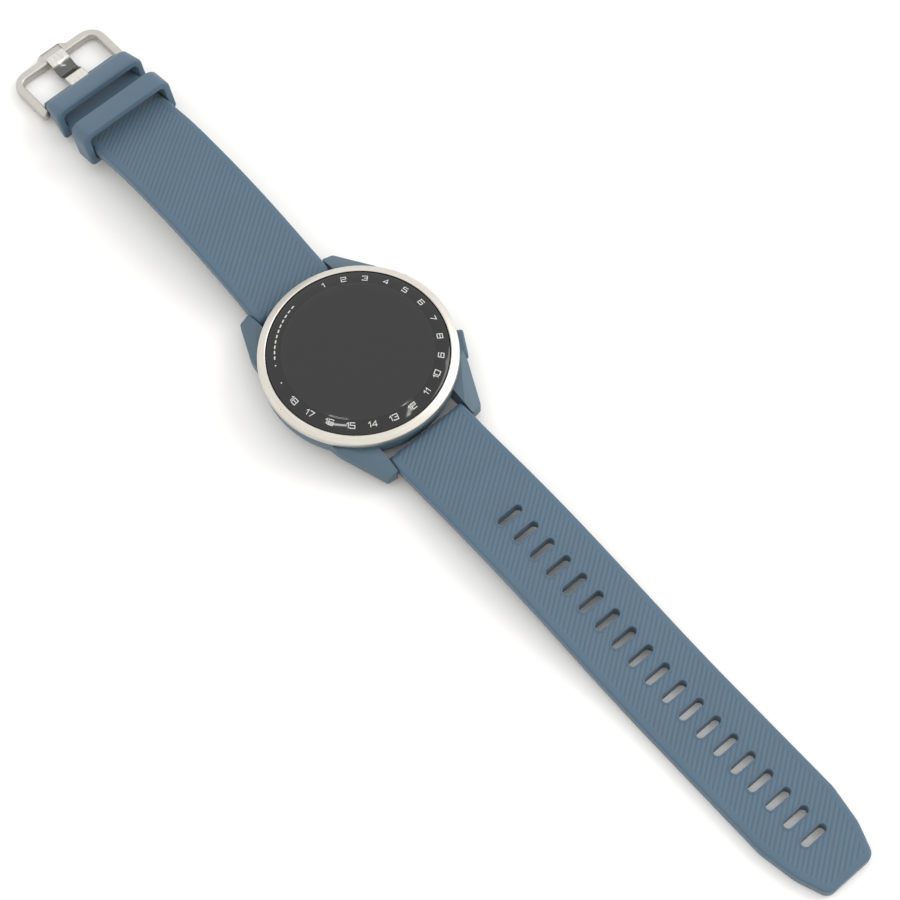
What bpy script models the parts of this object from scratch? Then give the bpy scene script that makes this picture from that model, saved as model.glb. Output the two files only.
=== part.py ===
"""Golf GPS watch, laid open on a table with its back down.

The origin is the centre of the flat case back, on the table plane. +X points to three o'clock, where
the buttons are, +Y to twelve o'clock, where the buckle strap is, and +Z out of the glass.
Every size is in metres, written as millimetres times MM.
"""

import math

import bmesh
import bpy
from mathutils import Matrix, Vector

MM = 0.001

# Clearances
SEAT_GAP = 0.1 * MM
RUNNING_GAP = 0.08 * MM
LUG_GAP = 0.25 * MM
PART_GAP = 0.3 * MM

# Case, radii
CASE_RADIUS = 21.35 * MM
CASE_WALL = 2.75 * MM
CASE_FOOT_INSET = 2.65 * MM
CASE_LEDGE = 1.3 * MM
BEZEL_OVERHANG = 0.15 * MM
BEZEL_WIDTH = 1.85 * MM
BACK_EDGE_INSET = 0.5 * MM
BACK_CHAMFER_WIDTH = 1.6 * MM
SPIGOT_INSET = 3.8 * MM
GASKET_WIDTH = 1.6 * MM
DISPLAY_INSET = 0.4 * MM
BOARD_INSET = 1.3 * MM
FRAME_RING_WIDTH = 1.7 * MM

# Case, heights from the table up
BACK_CHAMFER = 0.9 * MM
BACK_THICKNESS = 1.5 * MM
SPIGOT_HEIGHT = 1.4 * MM
CASE_FLOOR_TOP = 3.0 * MM
CASE_TOP = 8.3 * MM
CASE_LEDGE_THICKNESS = 0.9 * MM
CASE_EDGE = 0.3 * MM
GASKET_THICKNESS = 0.7 * MM
BEZEL_WALL_HEIGHT = 1.3 * MM
BEZEL_RISE = 1.0 * MM
GLASS_EDGE_HEIGHT = 1.15 * MM
GLASS_HEIGHT = 2.2 * MM
DISPLAY_THICKNESS = 1.1 * MM
FRAME_RING_HEIGHT = 0.8 * MM
BOARD_THICKNESS = 0.8 * MM

# Strap
STRAP_WIDTH = 20.0 * MM
STRAP_THICKNESS = 2.8 * MM
ROOT_RADIUS = 1.7 * MM
ROOT_BLEND = 7.0 * MM
LUG_BAR_CLEAR = 1.45 * MM
LUG_BAR_HEIGHT = 4.25 * MM
LOWER_LENGTH = 125.2 * MM
LOWER_CREST_AT = 27.2 * MM
LOWER_CREST_HEIGHT = 5.2 * MM
LOWER_TOUCHDOWN_AT = 81.2 * MM
TIP_TAPER = 15.5 * MM
TIP_SHOULDER = 6.8 * MM
TIP_WIDTH = 12.0 * MM
SLOT_END_MARGIN = 9.0 * MM
SLOT_PITCH = 4.96 * MM
FIRST_SLOT_AT = 25.4 * MM
SLOT_LENGTH = 6.2 * MM
SLOT_WIDTH = 1.9 * MM
UPPER_LENGTH = 74.8 * MM
UPPER_ROOT_SLOPE = 0.26
UPPER_CREST_AT = 33.2 * MM
UPPER_CREST_HEIGHT = 9.2 * MM
UPPER_RAMP_LENGTH = 25.6 * MM
UPPER_RAMP_SLOPE = -0.235

# Keepers: places are distances before the buckle bar, heights start at the strap's faces
KEEPER_ROOM = 3.1 * MM
KEEPER_ROOF = 1.8 * MM
KEEPER_SIDE = 1.7 * MM
KEEPER_FLOOR = 1.2 * MM
KEEPER_CORNER = 2.2 * MM
KEEPER_INSIDE_CORNER = 0.8 * MM
KEEPER_EDGE = 0.4 * MM
FREE_KEEPER_BEFORE = 19.2 * MM
FREE_KEEPER_LENGTH = 5.4 * MM
FIXED_KEEPER_BEFORE = 9.5 * MM
FIXED_KEEPER_LENGTH = 4.2 * MM
FIXED_KEEPER_SKIRT = 0.8 * MM

# Lugs: distances out are counted from the bar
LUG_TIP_BEYOND = 2.1 * MM
LUG_TIP_WIDTH = 2.7 * MM
LUG_ROOT_ANGLE = math.radians(39.3)
LUG_ROOT_FLARE = 1.4 * MM
LUG_TIP_TOP = 5.75 * MM
LUG_TIP_BOTTOM = 2.1 * MM
LUG_BOTTOM = 1.7 * MM
LUG_RELIEF_CLEAR = 0.65 * MM
LUG_RELIEF_ROOF = 1.0 * MM

# Spring bars
BAR_TUBE_RADIUS = 0.75 * MM
BAR_BORE_RADIUS = 0.56 * MM
BAR_TIP_RADIUS = 0.42 * MM
BAR_COLLAR_RADIUS = 0.47 * MM
BAR_COLLAR_INSET = 0.4 * MM
BAR_TIP_DEPTH = 1.1 * MM
FIXED_TIP_BODY = 2.5 * MM
RELEASE_TRAVEL = 1.5 * MM
LEVER_X = 5.6 * MM
LEVER_WIDTH = 0.8 * MM
LEVER_REACH = 2.1 * MM
LEVER_WINDOW_WIDTH = 3.2 * MM
SPRING_WIRE = 0.07 * MM
SPRING_TURNS = 6
SPRING_LENGTH = 3.0 * MM

# Buckle, in the plane of its frame with the bar at its origin
BUCKLE_ARM_WIDTH = 2.0 * MM
BUCKLE_FRONT_INSIDE = 9.9 * MM
BUCKLE_FRONT_WIDTH = 2.1 * MM
BUCKLE_LOBE = 1.2 * MM
BUCKLE_LOBE_HALF = 3.0 * MM
BUCKLE_ARM_BACK = 1.6 * MM
BUCKLE_THICKNESS = 2.2 * MM
BUCKLE_CORNER = 4.2 * MM
BUCKLE_EDGE = 0.5 * MM
BUCKLE_TILT = math.radians(4.35)
BUCKLE_TIP_BODY = 2.0 * MM
TONGUE_WIDTH = 4.8 * MM
TONGUE_THICKNESS = 0.7 * MM
TONGUE_BARREL = 1.5 * MM
TONGUE_FLAT = 2.4 * MM
TONGUE_DIP_AT = 5.8 * MM
TONGUE_DIP = 1.3 * MM
TONGUE_NOTCH_DEPTH = 0.4 * MM

# Buttons: depths are counted from the case's outer or cavity radius
BUTTON_ANGLE = math.radians(30)
BUTTON_BELOW_BOARD = 1.0 * MM
BUTTON_LENGTH = 7.0 * MM
BUTTON_TALL = 2.6 * MM
BUTTON_PROUD = 1.75 * MM
BUTTON_POCKET_DEPTH = 1.05 * MM
BUTTON_TRAVEL = 0.45 * MM
BUTTON_STOP_GAP = 0.15 * MM
BUTTON_EDGE = 0.4 * MM
STEM_RADIUS = 0.95 * MM
STEM_BORE_RADIUS = 1.05 * MM
STEM_GROOVE_RADIUS = 0.65 * MM
STEM_INSIDE = 0.9 * MM
SEAL_DEPTH = 0.6 * MM
SEAL_LENGTH = 0.5 * MM
GROOVE_PLAY = 0.05 * MM
CLIP_THICKNESS = 0.35 * MM
CLIP_RADIUS = 1.6 * MM
CLIP_GAP = 0.2 * MM
SWITCH_INSIDE = 1.6 * MM
SWITCH_DEPTH = 1.8 * MM
SWITCH_WIDTH = 3.4 * MM
PLUNGER_RADIUS = 0.55 * MM
PLUNGER_LENGTH = 1.05 * MM

# Inside the case
BATTERY_LENGTH = 23.0 * MM
BATTERY_WIDTH = 19.0 * MM
BATTERY_X = 0.6 * MM
BATTERY_EDGE = 0.6 * MM
CHIP_SIZE = (9.0 * MM, 9.0 * MM, 0.7 * MM)
CHIP_PLACE = (-1.5 * MM, -6.5 * MM)
ANTENNA_SIZE = (8.0 * MM, 8.0 * MM, 0.75 * MM)
ANTENNA_PLACE = (3.0 * MM, 7.0 * MM)
FLEX_WIDTH = 6.0 * MM
FLEX_THICKNESS = 0.15 * MM
FLEX_FOLD_INSET = 1.7 * MM
FLEX_ON_DISPLAY = 4.6 * MM
FLEX_ON_BOARD = 3.1 * MM
BUZZER_INSET = 0.6 * MM
BUZZER_RADIUS = 3.0 * MM
BUZZER_WALL = 0.25 * MM
BUZZER_BASE = 0.3 * MM
BUZZER_PIN_RADIUS = 0.3 * MM
BUZZER_HUB_RADIUS = 0.9 * MM
SCREW_HEAD_RADIUS = 1.1 * MM
SCREW_HEAD_HEIGHT = 0.7 * MM
SCREW_HEAD_SUNK = 0.2 * MM
SCREW_RADIUS = 0.6 * MM
SCREW_LENGTH = 4.0 * MM
SCREW_BEYOND_SPIGOT = 1.6 * MM
DRIVER_SLOT = 0.35 * MM
BOSS_RADIUS = 1.5 * MM
BOSS_HEIGHT = 1.6 * MM
GASKET_GROOVE_DEPTH = 0.6 * MM
GASKET_GROOVE_HEIGHT = 0.6 * MM
PORT_Y = -9.0 * MM
PORT_LENGTH = 9.6 * MM
PORT_WIDTH = 4.4 * MM
PORT_RECESS = 0.5 * MM
PORT_TOP = 2.6 * MM
PIN_COUNT = 4
PIN_PITCH = 1.9 * MM
PIN_RADIUS = 0.5 * MM

# Facets and helpers' reach
ROUND = 48
SMALL_ROUND = 20
TINY_ROUND = 12
STATION_PITCH = 4.5 * MM
MERGE = 0.01 * MM
BEYOND = 1.0 * MM
FAR = 250.0 * MM

# What follows from the sizes above
BEZEL_RADIUS = CASE_RADIUS + BEZEL_OVERHANG
GLASS_RADIUS = BEZEL_RADIUS - BEZEL_WIDTH - SEAT_GAP
CAVITY_RADIUS = CASE_RADIUS - CASE_WALL
WINDOW_RADIUS = CAVITY_RADIUS - CASE_LEDGE
CASE_FOOT_RADIUS = CASE_RADIUS - CASE_FOOT_INSET
BACK_RADIUS = CASE_FOOT_RADIUS - BACK_EDGE_INSET
SPIGOT_RADIUS = CAVITY_RADIUS - SPIGOT_INSET
BACK_OPENING = SPIGOT_RADIUS + RUNNING_GAP + SEAT_GAP
SCREW_CIRCLE = SPIGOT_RADIUS + SCREW_BEYOND_SPIGOT
DISPLAY_RADIUS = WINDOW_RADIUS - DISPLAY_INSET
BOARD_RADIUS = CAVITY_RADIUS - BOARD_INSET
CASE_FOOT = BACK_THICKNESS + SEAT_GAP
SPIGOT_TOP = BACK_THICKNESS + SPIGOT_HEIGHT
BATTERY_FLOOR = SPIGOT_TOP + 2 * SEAT_GAP
CAVITY_TOP = CASE_TOP - CASE_LEDGE_THICKNESS
GLASS_BOTTOM = CASE_TOP + GASKET_THICKNESS + 2 * SEAT_GAP
BEZEL_EDGE_TOP = CASE_TOP + BEZEL_WALL_HEIGHT
BEZEL_TOP = BEZEL_EDGE_TOP + BEZEL_RISE
GLASS_EDGE_TOP = GLASS_BOTTOM + GLASS_EDGE_HEIGHT
TOTAL_HEIGHT = GLASS_BOTTOM + GLASS_HEIGHT
DISPLAY_BOTTOM = GLASS_BOTTOM - SEAT_GAP - DISPLAY_THICKNESS
BOARD_TOP = DISPLAY_BOTTOM - FRAME_RING_HEIGHT - 2 * SEAT_GAP
BOARD_BOTTOM = BOARD_TOP - BOARD_THICKNESS
BATTERY_THICKNESS = BOARD_BOTTOM - PART_GAP - BATTERY_FLOOR
BUZZER_HEIGHT = BATTERY_THICKNESS - SEAT_GAP
BUZZER_PLACE = (BUZZER_RADIUS + BUZZER_INSET - CAVITY_RADIUS, 0.0, 0.0)
FRAME_RING_RADIUS = WINDOW_RADIUS - PART_GAP
FLEX_FOLD_X = FLEX_FOLD_INSET + FRAME_RING_WIDTH - FRAME_RING_RADIUS
BUTTON_HEIGHT = BOARD_BOTTOM - BUTTON_BELOW_BOARD
LUG_RELIEF_TOP = CASE_TOP - LUG_RELIEF_ROOF
SLOT_COUNT = int((LOWER_LENGTH - FIRST_SLOT_AT - SLOT_END_MARGIN) / SLOT_PITCH) + 1
HALF_WIDTH = STRAP_WIDTH / 2
HALF_THICKNESS = STRAP_THICKNESS / 2
LUG_INSIDE = HALF_WIDTH + LUG_GAP
LUG_BAR_OUT = CASE_RADIUS + LUG_BAR_CLEAR
LUG_TIP_OUT = LUG_BAR_OUT + LUG_TIP_BEYOND
LUG_RELIEF_OUT = LUG_BAR_OUT - ROOT_RADIUS - LUG_RELIEF_CLEAR
LUG_HOLE_DEPTH = LUG_INSIDE + BAR_TIP_DEPTH + SEAT_GAP
LOWER_TIP_OUT = LUG_BAR_OUT + LOWER_LENGTH
BUCKLE_BAR_OUT = LUG_BAR_OUT + UPPER_LENGTH
BUCKLE_REACH = BUCKLE_FRONT_INSIDE + BUCKLE_FRONT_WIDTH + BUCKLE_LOBE
BUCKLE_BAR_HEIGHT = BUCKLE_REACH * math.sin(BUCKLE_TILT) + BUCKLE_THICKNESS / 2 * math.cos(BUCKLE_TILT)
RAMP_ANGLE = math.atan(UPPER_RAMP_SLOPE)
BUTTON_POCKET = CASE_RADIUS - BUTTON_POCKET_DEPTH
BUTTON_OUT = CASE_RADIUS + BUTTON_PROUD
STEM_END = CAVITY_RADIUS - STEM_INSIDE
SEAL_INNER = CAVITY_RADIUS + SEAL_DEPTH
SWITCH_FACE = CAVITY_RADIUS - SWITCH_INSIDE


def clear_scene():
    for obj in list(bpy.data.objects):
        bpy.data.objects.remove(obj, do_unlink=True)


def new_collection(name):
    collection = bpy.data.collections.new(name)
    bpy.context.scene.collection.children.link(collection)
    return collection


clear_scene()
PARTS = new_collection("golf_gps_watch")
CUTTERS = new_collection("cutters")


# Materials

def principled(name, color, roughness, metallic=0.0):
    material = bpy.data.materials.new(name)
    material.use_nodes = True
    shader = material.node_tree.nodes["Principled BSDF"]
    shader.inputs["Base Color"].default_value = (*color, 1.0)
    shader.inputs["Roughness"].default_value = roughness
    shader.inputs["Metallic"].default_value = metallic
    return material


SILICONE = principled("blue_silicone", (0.12, 0.21, 0.29), 0.6)
POLYMER = principled("blue_polymer", (0.11, 0.19, 0.26), 0.45)
SATIN_STEEL = principled("satin_steel", (0.72, 0.70, 0.67), 0.3, 1.0)
BRIGHT_STEEL = principled("bright_steel", (0.76, 0.75, 0.73), 0.12, 1.0)
GLASS = principled("cover_glass", (0.02, 0.02, 0.02), 0.05)
DISPLAY = principled("display", (0.03, 0.03, 0.03), 0.2)
BLACK_PLASTIC = principled("black_plastic", (0.02, 0.02, 0.022), 0.5)
BLACK_RUBBER = principled("black_rubber", (0.015, 0.015, 0.015), 0.8)
BOARD = principled("circuit_board", (0.02, 0.12, 0.06), 0.45)
CERAMIC = principled("ceramic", (0.6, 0.52, 0.42), 0.5)
FOIL = principled("battery_foil", (0.6, 0.61, 0.62), 0.35, 0.8)
GOLD = principled("gold_plate", (0.85, 0.62, 0.25), 0.25, 1.0)
POLYIMIDE = principled("polyimide", (0.55, 0.28, 0.06), 0.4)


# Outlines

def arc(center, radius, start, end, steps):
    """Points on an arc, angles in degrees."""
    angles = [math.radians(start + (end - start) * i / steps) for i in range(steps + 1)]
    return [(center[0] + radius * math.cos(a), center[1] + radius * math.sin(a)) for a in angles]


def rounded(corners, steps=4):
    """A closed outline from (x, y, radius) corners, each turned into an arc of that radius."""
    outline = []
    for i, (x, y, radius) in enumerate(corners):
        here = Vector((x, y))
        before = (Vector(corners[i - 1][:2]) - here).normalized()
        after = (Vector(corners[(i + 1) % len(corners)][:2]) - here).normalized()
        if radius == 0:
            outline.append((x, y))
            continue
        half = before.angle(after) / 2
        back = radius / math.tan(half)
        center = here + (before + after).normalized() * (radius / math.sin(half))
        first = here + before * back - center
        last = here + after * back - center
        turn = first.angle_signed(last)
        for step in range(steps + 1):
            point = Matrix.Rotation(-turn * step / steps, 2) @ first + center
            outline.append((point.x, point.y))
    return outline


def rectangle(left, right, low, high, radius=0.0):
    corners = [(left, low), (right, low), (right, high), (left, high)]
    return rounded([(x, y, radius) for x, y in corners])


def pill(center_x, center_y, length, width, steps=6):
    """A slot outline with round ends, its length along x."""
    straight = (length - width) / 2
    right = arc((center_x + straight, center_y), width / 2, -90, 90, steps)
    left = arc((center_x - straight, center_y), width / 2, 90, 270, steps)
    return right + left


def add_object(name, mesh, material, place, turn, cutter):
    obj = bpy.data.objects.new(name, mesh)
    obj.location = place
    obj.rotation_euler = turn
    if cutter:
        obj.hide_render = True
        obj.display_type = "WIRE"
        CUTTERS.objects.link(obj)
    else:
        mesh.materials.append(material)
        PARTS.objects.link(obj)
    return obj


def turned(name, profile, material=None, place=(0, 0, 0), turn=(0, 0, 0), steps=ROUND, cutter=False):
    """A turned solid. The (radius, height) profile runs down the outer side; a ring's is closed."""
    mesh = bpy.data.meshes.new(name)
    edges = [(i, i + 1) for i in range(len(profile) - 1)]
    if profile[0][0] > 0:
        edges.append((len(profile) - 1, 0))
    mesh.from_pydata([(radius, 0, height) for radius, height in profile], edges, [])
    obj = add_object(name, mesh, material, place, turn, cutter)
    screw = obj.modifiers.new("Turn", "SCREW")
    screw.steps = steps
    screw.render_steps = steps
    screw.use_merge_vertices = True
    screw.merge_threshold = MERGE
    screw.use_smooth_shade = True
    return obj


def rod(name, radius, low, high, material=None, place=(0, 0, 0), turn=(0, 0, 0), steps=SMALL_ROUND,
        cutter=False):
    profile = [(0, high), (radius, high), (radius, low), (0, low)]
    return turned(name, profile, material, place, turn, steps, cutter)


def ring(name, inner, outer, low, high, material, place=(0, 0, 0), turn=(0, 0, 0), steps=SMALL_ROUND):
    profile = [(outer, high), (outer, low), (inner, low), (inner, high)]
    return turned(name, profile, material, place, turn, steps)


def prism(name, outlines, low, high, material=None, place=(0, 0, 0), turn=(0, 0, 0), cutter=False):
    """Flat closed outlines filled and extruded from low to high along their own z."""
    curve = bpy.data.curves.new(name, "CURVE")
    curve.dimensions = "2D"
    curve.fill_mode = "BOTH"
    curve.extrude = (high - low) / 2
    for outline in outlines:
        spline = curve.splines.new("POLY")
        spline.points.add(len(outline) - 1)
        for point, (x, y) in zip(spline.points, outline):
            point.co = (x, y, 0, 1)
        spline.use_cyclic_u = True
    return curve_solid(name, curve, Vector((0, 0, (low + high) / 2)), material, place, turn, cutter)


def curve_solid(name, curve, shift, material, place, turn, cutter):
    """The curve's own solid as a welded mesh."""
    holder = bpy.data.objects.new(name + "_curve", curve)
    PARTS.objects.link(holder)
    graph = bpy.context.evaluated_depsgraph_get()
    mesh = bpy.data.meshes.new_from_object(holder.evaluated_get(graph))
    bpy.data.objects.remove(holder, do_unlink=True)
    mesh.name = name
    shape = bmesh.new()
    shape.from_mesh(mesh)
    bmesh.ops.translate(shape, verts=shape.verts, vec=shift)
    bmesh.ops.remove_doubles(shape, verts=shape.verts, dist=MERGE / 10)
    bmesh.ops.dissolve_limit(shape, angle_limit=math.radians(0.05), verts=shape.verts, edges=shape.edges)
    bmesh.ops.recalc_face_normals(shape, faces=shape.faces)
    shape.to_mesh(mesh)
    shape.free()
    mesh.materials.clear()
    return add_object(name, mesh, material, place, turn, cutter)


def block(name, size, center, material=None, turn=(0, 0, 0), cutter=False):
    mesh = bpy.data.meshes.new(name)
    shape = bmesh.new()
    bmesh.ops.create_cube(shape, size=1.0, matrix=Matrix.Diagonal((*size, 1.0)))
    shape.to_mesh(mesh)
    shape.free()
    return add_object(name, mesh, material, center, turn, cutter)


def combine(obj, other, operation):
    boolean = obj.modifiers.new(other.name, "BOOLEAN")
    boolean.operation = operation
    boolean.object = other
    boolean.solver = "EXACT"
    return obj


def cut(obj, *cutters):
    for cutter in cutters:
        combine(obj, cutter, "DIFFERENCE")
    return obj


def join(obj, *others):
    for other in others:
        combine(obj, other, "UNION")
    return obj


def soften(obj, width, segments=2):
    bevel = obj.modifiers.new("Bevel", "BEVEL")
    bevel.width = width
    bevel.segments = segments
    bevel.limit_method = "ANGLE"
    bevel.angle_limit = math.radians(50)
    return obj


def mirror(obj, in_x, in_y):
    """Copies the solid across the case's middle planes."""
    modifier = obj.modifiers.new("Mirror", "MIRROR")
    modifier.use_axis = (in_x, in_y, False)
    modifier.use_mirror_merge = False
    return obj


# Turns that lay a piece's own z, or its outline's plane, where it belongs
ALONG_X = (0, math.pi / 2, 0)
SIDE_PLANE = (math.pi / 2, 0, math.pi / 2)


# Straps

def hermite(start, end, y):
    """The height at y of the smooth curve between two (y, z, slope) knots."""
    span = end[0] - start[0]
    t = (y - start[0]) / span
    rise = start[1] * (2 * t**3 - 3 * t**2 + 1) + end[1] * (3 * t**2 - 2 * t**3)
    return rise + span * (start[2] * (t**3 - 2 * t**2 + t) + end[2] * (t**3 - t**2))


def strap_height(knots, y):
    for start, end in zip(knots, knots[1:]):
        if y <= end[0]:
            break
    return hermite(start, end, y)


def strap_frame(knots, y):
    """The middle point, and the unit normal, of the strap at distance y from the case centre."""
    step = 0.05 * MM
    low = max(y - step, knots[0][0])
    high = min(y + step, knots[-1][0])
    along = Vector((high - low, strap_height(knots, high) - strap_height(knots, low))).normalized()
    return Vector((y, strap_height(knots, y))), Vector((-along.y, along.x))


def half_thickness(from_end):
    """Half the strap's thickness, swelling to the root radius round a bar."""
    t = min(max(from_end / ROOT_BLEND, 0.0), 1.0)
    return ROOT_RADIUS + (HALF_THICKNESS - ROOT_RADIUS) * (3 * t**2 - 2 * t**3)


def strap_outline(knots, stations, bar_at_end):
    """The strap seen from the side: round about its bars, with a square tip where it has no bar."""
    top = []
    bottom = []
    for y in stations:
        middle, normal = strap_frame(knots, y)
        half = half_thickness(y - knots[0][0])
        if bar_at_end:
            half = max(half, half_thickness(knots[-1][0] - y))
        top.append(middle + normal * half)
        bottom.append(middle - normal * half)
    outline = [tuple(point) for point in bottom]
    if bar_at_end:
        outline += round_end(knots[-1], bottom[-1])
    outline += [tuple(point) for point in reversed(top)]
    return outline + round_end(knots[0], top[0])


def round_end(knot, start, steps=8):
    """The half circle about a bar, from one face of the strap to the other, without its two ends."""
    center = Vector(knot[:2])
    arm = Vector(start) - center
    turns = [math.pi * i / steps for i in range(1, steps)]
    return [tuple(center + Matrix.Rotation(turn, 2) @ arm) for turn in turns]


def spaced(start, end, pitch):
    count = math.ceil((end - start) / pitch)
    return [start + (end - start) * i / count for i in range(count + 1)]


LOWER_KNOTS = [
    (LUG_BAR_OUT, LUG_BAR_HEIGHT, 0.0),
    (LUG_BAR_OUT + LOWER_CREST_AT, LOWER_CREST_HEIGHT, 0.0),
    (LUG_BAR_OUT + LOWER_TOUCHDOWN_AT, HALF_THICKNESS, 0.0),
    (LOWER_TIP_OUT, HALF_THICKNESS, 0.0),
]
UPPER_KNOTS = [
    (LUG_BAR_OUT, LUG_BAR_HEIGHT, UPPER_ROOT_SLOPE),
    (LUG_BAR_OUT + UPPER_CREST_AT, UPPER_CREST_HEIGHT, 0.0),
    (BUCKLE_BAR_OUT - UPPER_RAMP_LENGTH, BUCKLE_BAR_HEIGHT - UPPER_RAMP_SLOPE * UPPER_RAMP_LENGTH,
     UPPER_RAMP_SLOPE),
    (BUCKLE_BAR_OUT, BUCKLE_BAR_HEIGHT, UPPER_RAMP_SLOPE),
]


def mirror_y(outline):
    """The same side outline on the other side of the case."""
    return [(-y, z) for y, z in outline]


def tip_outline():
    """The lower strap seen from above: straight, then curving in to a narrower square end."""
    wide = HALF_WIDTH + PART_GAP
    half = [
        (TIP_WIDTH / 2, -LOWER_TIP_OUT, 2.2 * MM),
        (HALF_WIDTH - 1.4 * MM, -LOWER_TIP_OUT + TIP_SHOULDER, 9.0 * MM),
        (wide, -LOWER_TIP_OUT + TIP_TAPER, 12.0 * MM),
        (wide, 0.0, 0.0),
    ]
    left = [(-x, y, radius) for x, y, radius in reversed(half)]
    return rounded(half + left, 5)


def bar_bore(name, y, z):
    return rod(name, BAR_TUBE_RADIUS + RUNNING_GAP, -LUG_INSIDE - PART_GAP, LUG_INSIDE + PART_GAP,
               place=(0, y, z), turn=ALONG_X, cutter=True)


def lever_window(name, side):
    """The opening under a strap's root that shows the bar's release lever."""
    length = RELEASE_TRAVEL + LEVER_WIDTH + 4 * PART_GAP
    middle = LEVER_X - RELEASE_TRAVEL / 2
    size = (length, LEVER_WINDOW_WIDTH, 2 * ROOT_RADIUS)
    return block(name, size, (middle, side * LUG_BAR_OUT, LUG_BAR_HEIGHT - ROOT_RADIUS - PART_GAP),
                 cutter=True)


def lower_strap():
    stations = spaced(LUG_BAR_OUT, LOWER_TIP_OUT, STATION_PITCH)
    outline = mirror_y(strap_outline(LOWER_KNOTS, stations, False))
    strap = prism("lower_strap", [outline], -HALF_WIDTH, HALF_WIDTH, SILICONE, turn=SIDE_PLANE)
    combine(strap, prism("tip_shape", [tip_outline()], -FAR, FAR, cutter=True), "INTERSECT")
    slots = [pill(0, -LUG_BAR_OUT - FIRST_SLOT_AT - SLOT_PITCH * i, SLOT_LENGTH, SLOT_WIDTH)
             for i in range(SLOT_COUNT)]
    cut(strap, prism("strap_slots", slots, -FAR, FAR, cutter=True))
    cut(strap, bar_bore("lower_bar_bore", -LUG_BAR_OUT, LUG_BAR_HEIGHT))
    return cut(strap, lever_window("lower_lever_window", -1))


def keeper_outline(room, roof, floor):
    """A keeper seen along the strap: outside and, for a loop, inside."""
    top = HALF_THICKNESS + room + roof
    side = HALF_WIDTH + PART_GAP
    return rectangle(-side - KEEPER_SIDE, side + KEEPER_SIDE, -HALF_THICKNESS - floor, top, KEEPER_CORNER)


def ramp_place(before_bar):
    """The middle of the buckle strap's straight ramp at this distance before the buckle bar."""
    return (0, BUCKLE_BAR_OUT - before_bar, BUCKLE_BAR_HEIGHT - UPPER_RAMP_SLOPE * before_bar)


ACROSS_RAMP = (math.pi / 2 + RAMP_ANGLE, 0, 0)


def fixed_keeper():
    outside = keeper_outline(KEEPER_ROOM, KEEPER_ROOF, FIXED_KEEPER_SKIRT)
    side = HALF_WIDTH + PART_GAP
    window = rectangle(-side, side, HALF_THICKNESS, HALF_THICKNESS + KEEPER_ROOM, KEEPER_INSIDE_CORNER)
    return prism("fixed_keeper", [outside, window], -FIXED_KEEPER_LENGTH, 0,
                 place=ramp_place(FIXED_KEEPER_BEFORE), turn=ACROSS_RAMP, cutter=True)


def tongue_window():
    """The notch in the strap's end where the tongue turns on the bar."""
    back = TONGUE_BARREL + TONGUE_THICKNESS / 2 + PART_GAP
    length = back + 2 * ROOT_RADIUS
    size = (TONGUE_WIDTH + 2 * PART_GAP, length, 4 * ROOT_RADIUS)
    middle = BUCKLE_BAR_OUT - back + length / 2
    return block("tongue_window", size, (0, middle, BUCKLE_BAR_HEIGHT), cutter=True)


def upper_strap():
    stations = spaced(LUG_BAR_OUT, BUCKLE_BAR_OUT, STATION_PITCH)
    outline = strap_outline(UPPER_KNOTS, stations, True)
    strap = prism("upper_strap", [outline], -HALF_WIDTH, HALF_WIDTH, SILICONE, turn=SIDE_PLANE)
    join(strap, fixed_keeper())
    cut(strap, bar_bore("upper_bar_bore", LUG_BAR_OUT, LUG_BAR_HEIGHT))
    cut(strap, bar_bore("buckle_bar_bore", BUCKLE_BAR_OUT, BUCKLE_BAR_HEIGHT))
    return cut(strap, lever_window("upper_lever_window", 1), tongue_window())


def free_keeper():
    outside = keeper_outline(KEEPER_ROOM, KEEPER_ROOF, PART_GAP + KEEPER_FLOOR)
    side = HALF_WIDTH + PART_GAP
    inside = rectangle(-side, side, -HALF_THICKNESS - PART_GAP, HALF_THICKNESS + KEEPER_ROOM,
                       KEEPER_INSIDE_CORNER)
    keeper = prism("free_keeper", [outside, inside], -FREE_KEEPER_LENGTH, 0, SILICONE,
                   place=ramp_place(FREE_KEEPER_BEFORE), turn=ACROSS_RAMP)
    return soften(keeper, KEEPER_EDGE, 1)


# Spring bars

def tube(name, half_length, material, place):
    return ring(name, BAR_BORE_RADIUS, BAR_TUBE_RADIUS, -half_length, half_length, material, place,
                ALONG_X, 16)


def bar_tip(name, half_length, tip_out, place, side, body_length):
    """A shouldered pin: its tip stands out of the tube, its wider body stays inside."""
    profile = [
        (0, tip_out),
        (BAR_TIP_RADIUS - 0.1 * MM, tip_out),
        (BAR_TIP_RADIUS, tip_out - 0.15 * MM),
        (BAR_TIP_RADIUS, half_length - BAR_COLLAR_INSET),
        (BAR_COLLAR_RADIUS, half_length - BAR_COLLAR_INSET),
        (BAR_COLLAR_RADIUS, half_length - body_length),
        (0, half_length - body_length),
    ]
    turn = (0, side * math.pi / 2, 0)
    return turned(name, profile, BRIGHT_STEEL, place, turn, TINY_ROUND)


def coil(name, place, middle):
    """A small compression spring lying along x."""
    curve = bpy.data.curves.new(name, "CURVE")
    curve.dimensions = "3D"
    curve.bevel_depth = SPRING_WIRE
    curve.bevel_resolution = 0
    curve.use_fill_caps = True
    points = SPRING_TURNS * 8
    spline = curve.splines.new("POLY")
    spline.points.add(points)
    radius = BAR_BORE_RADIUS - SPRING_WIRE - 0.1 * MM
    for i, point in enumerate(spline.points):
        angle = 2 * math.pi * i / 8
        x = SPRING_LENGTH * (i / points - 0.5)
        point.co = (x, radius * math.cos(angle), radius * math.sin(angle), 1)
    return curve_solid(name, curve, Vector((middle, 0, 0)), BRIGHT_STEEL, place, (0, 0, 0), False)


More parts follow.
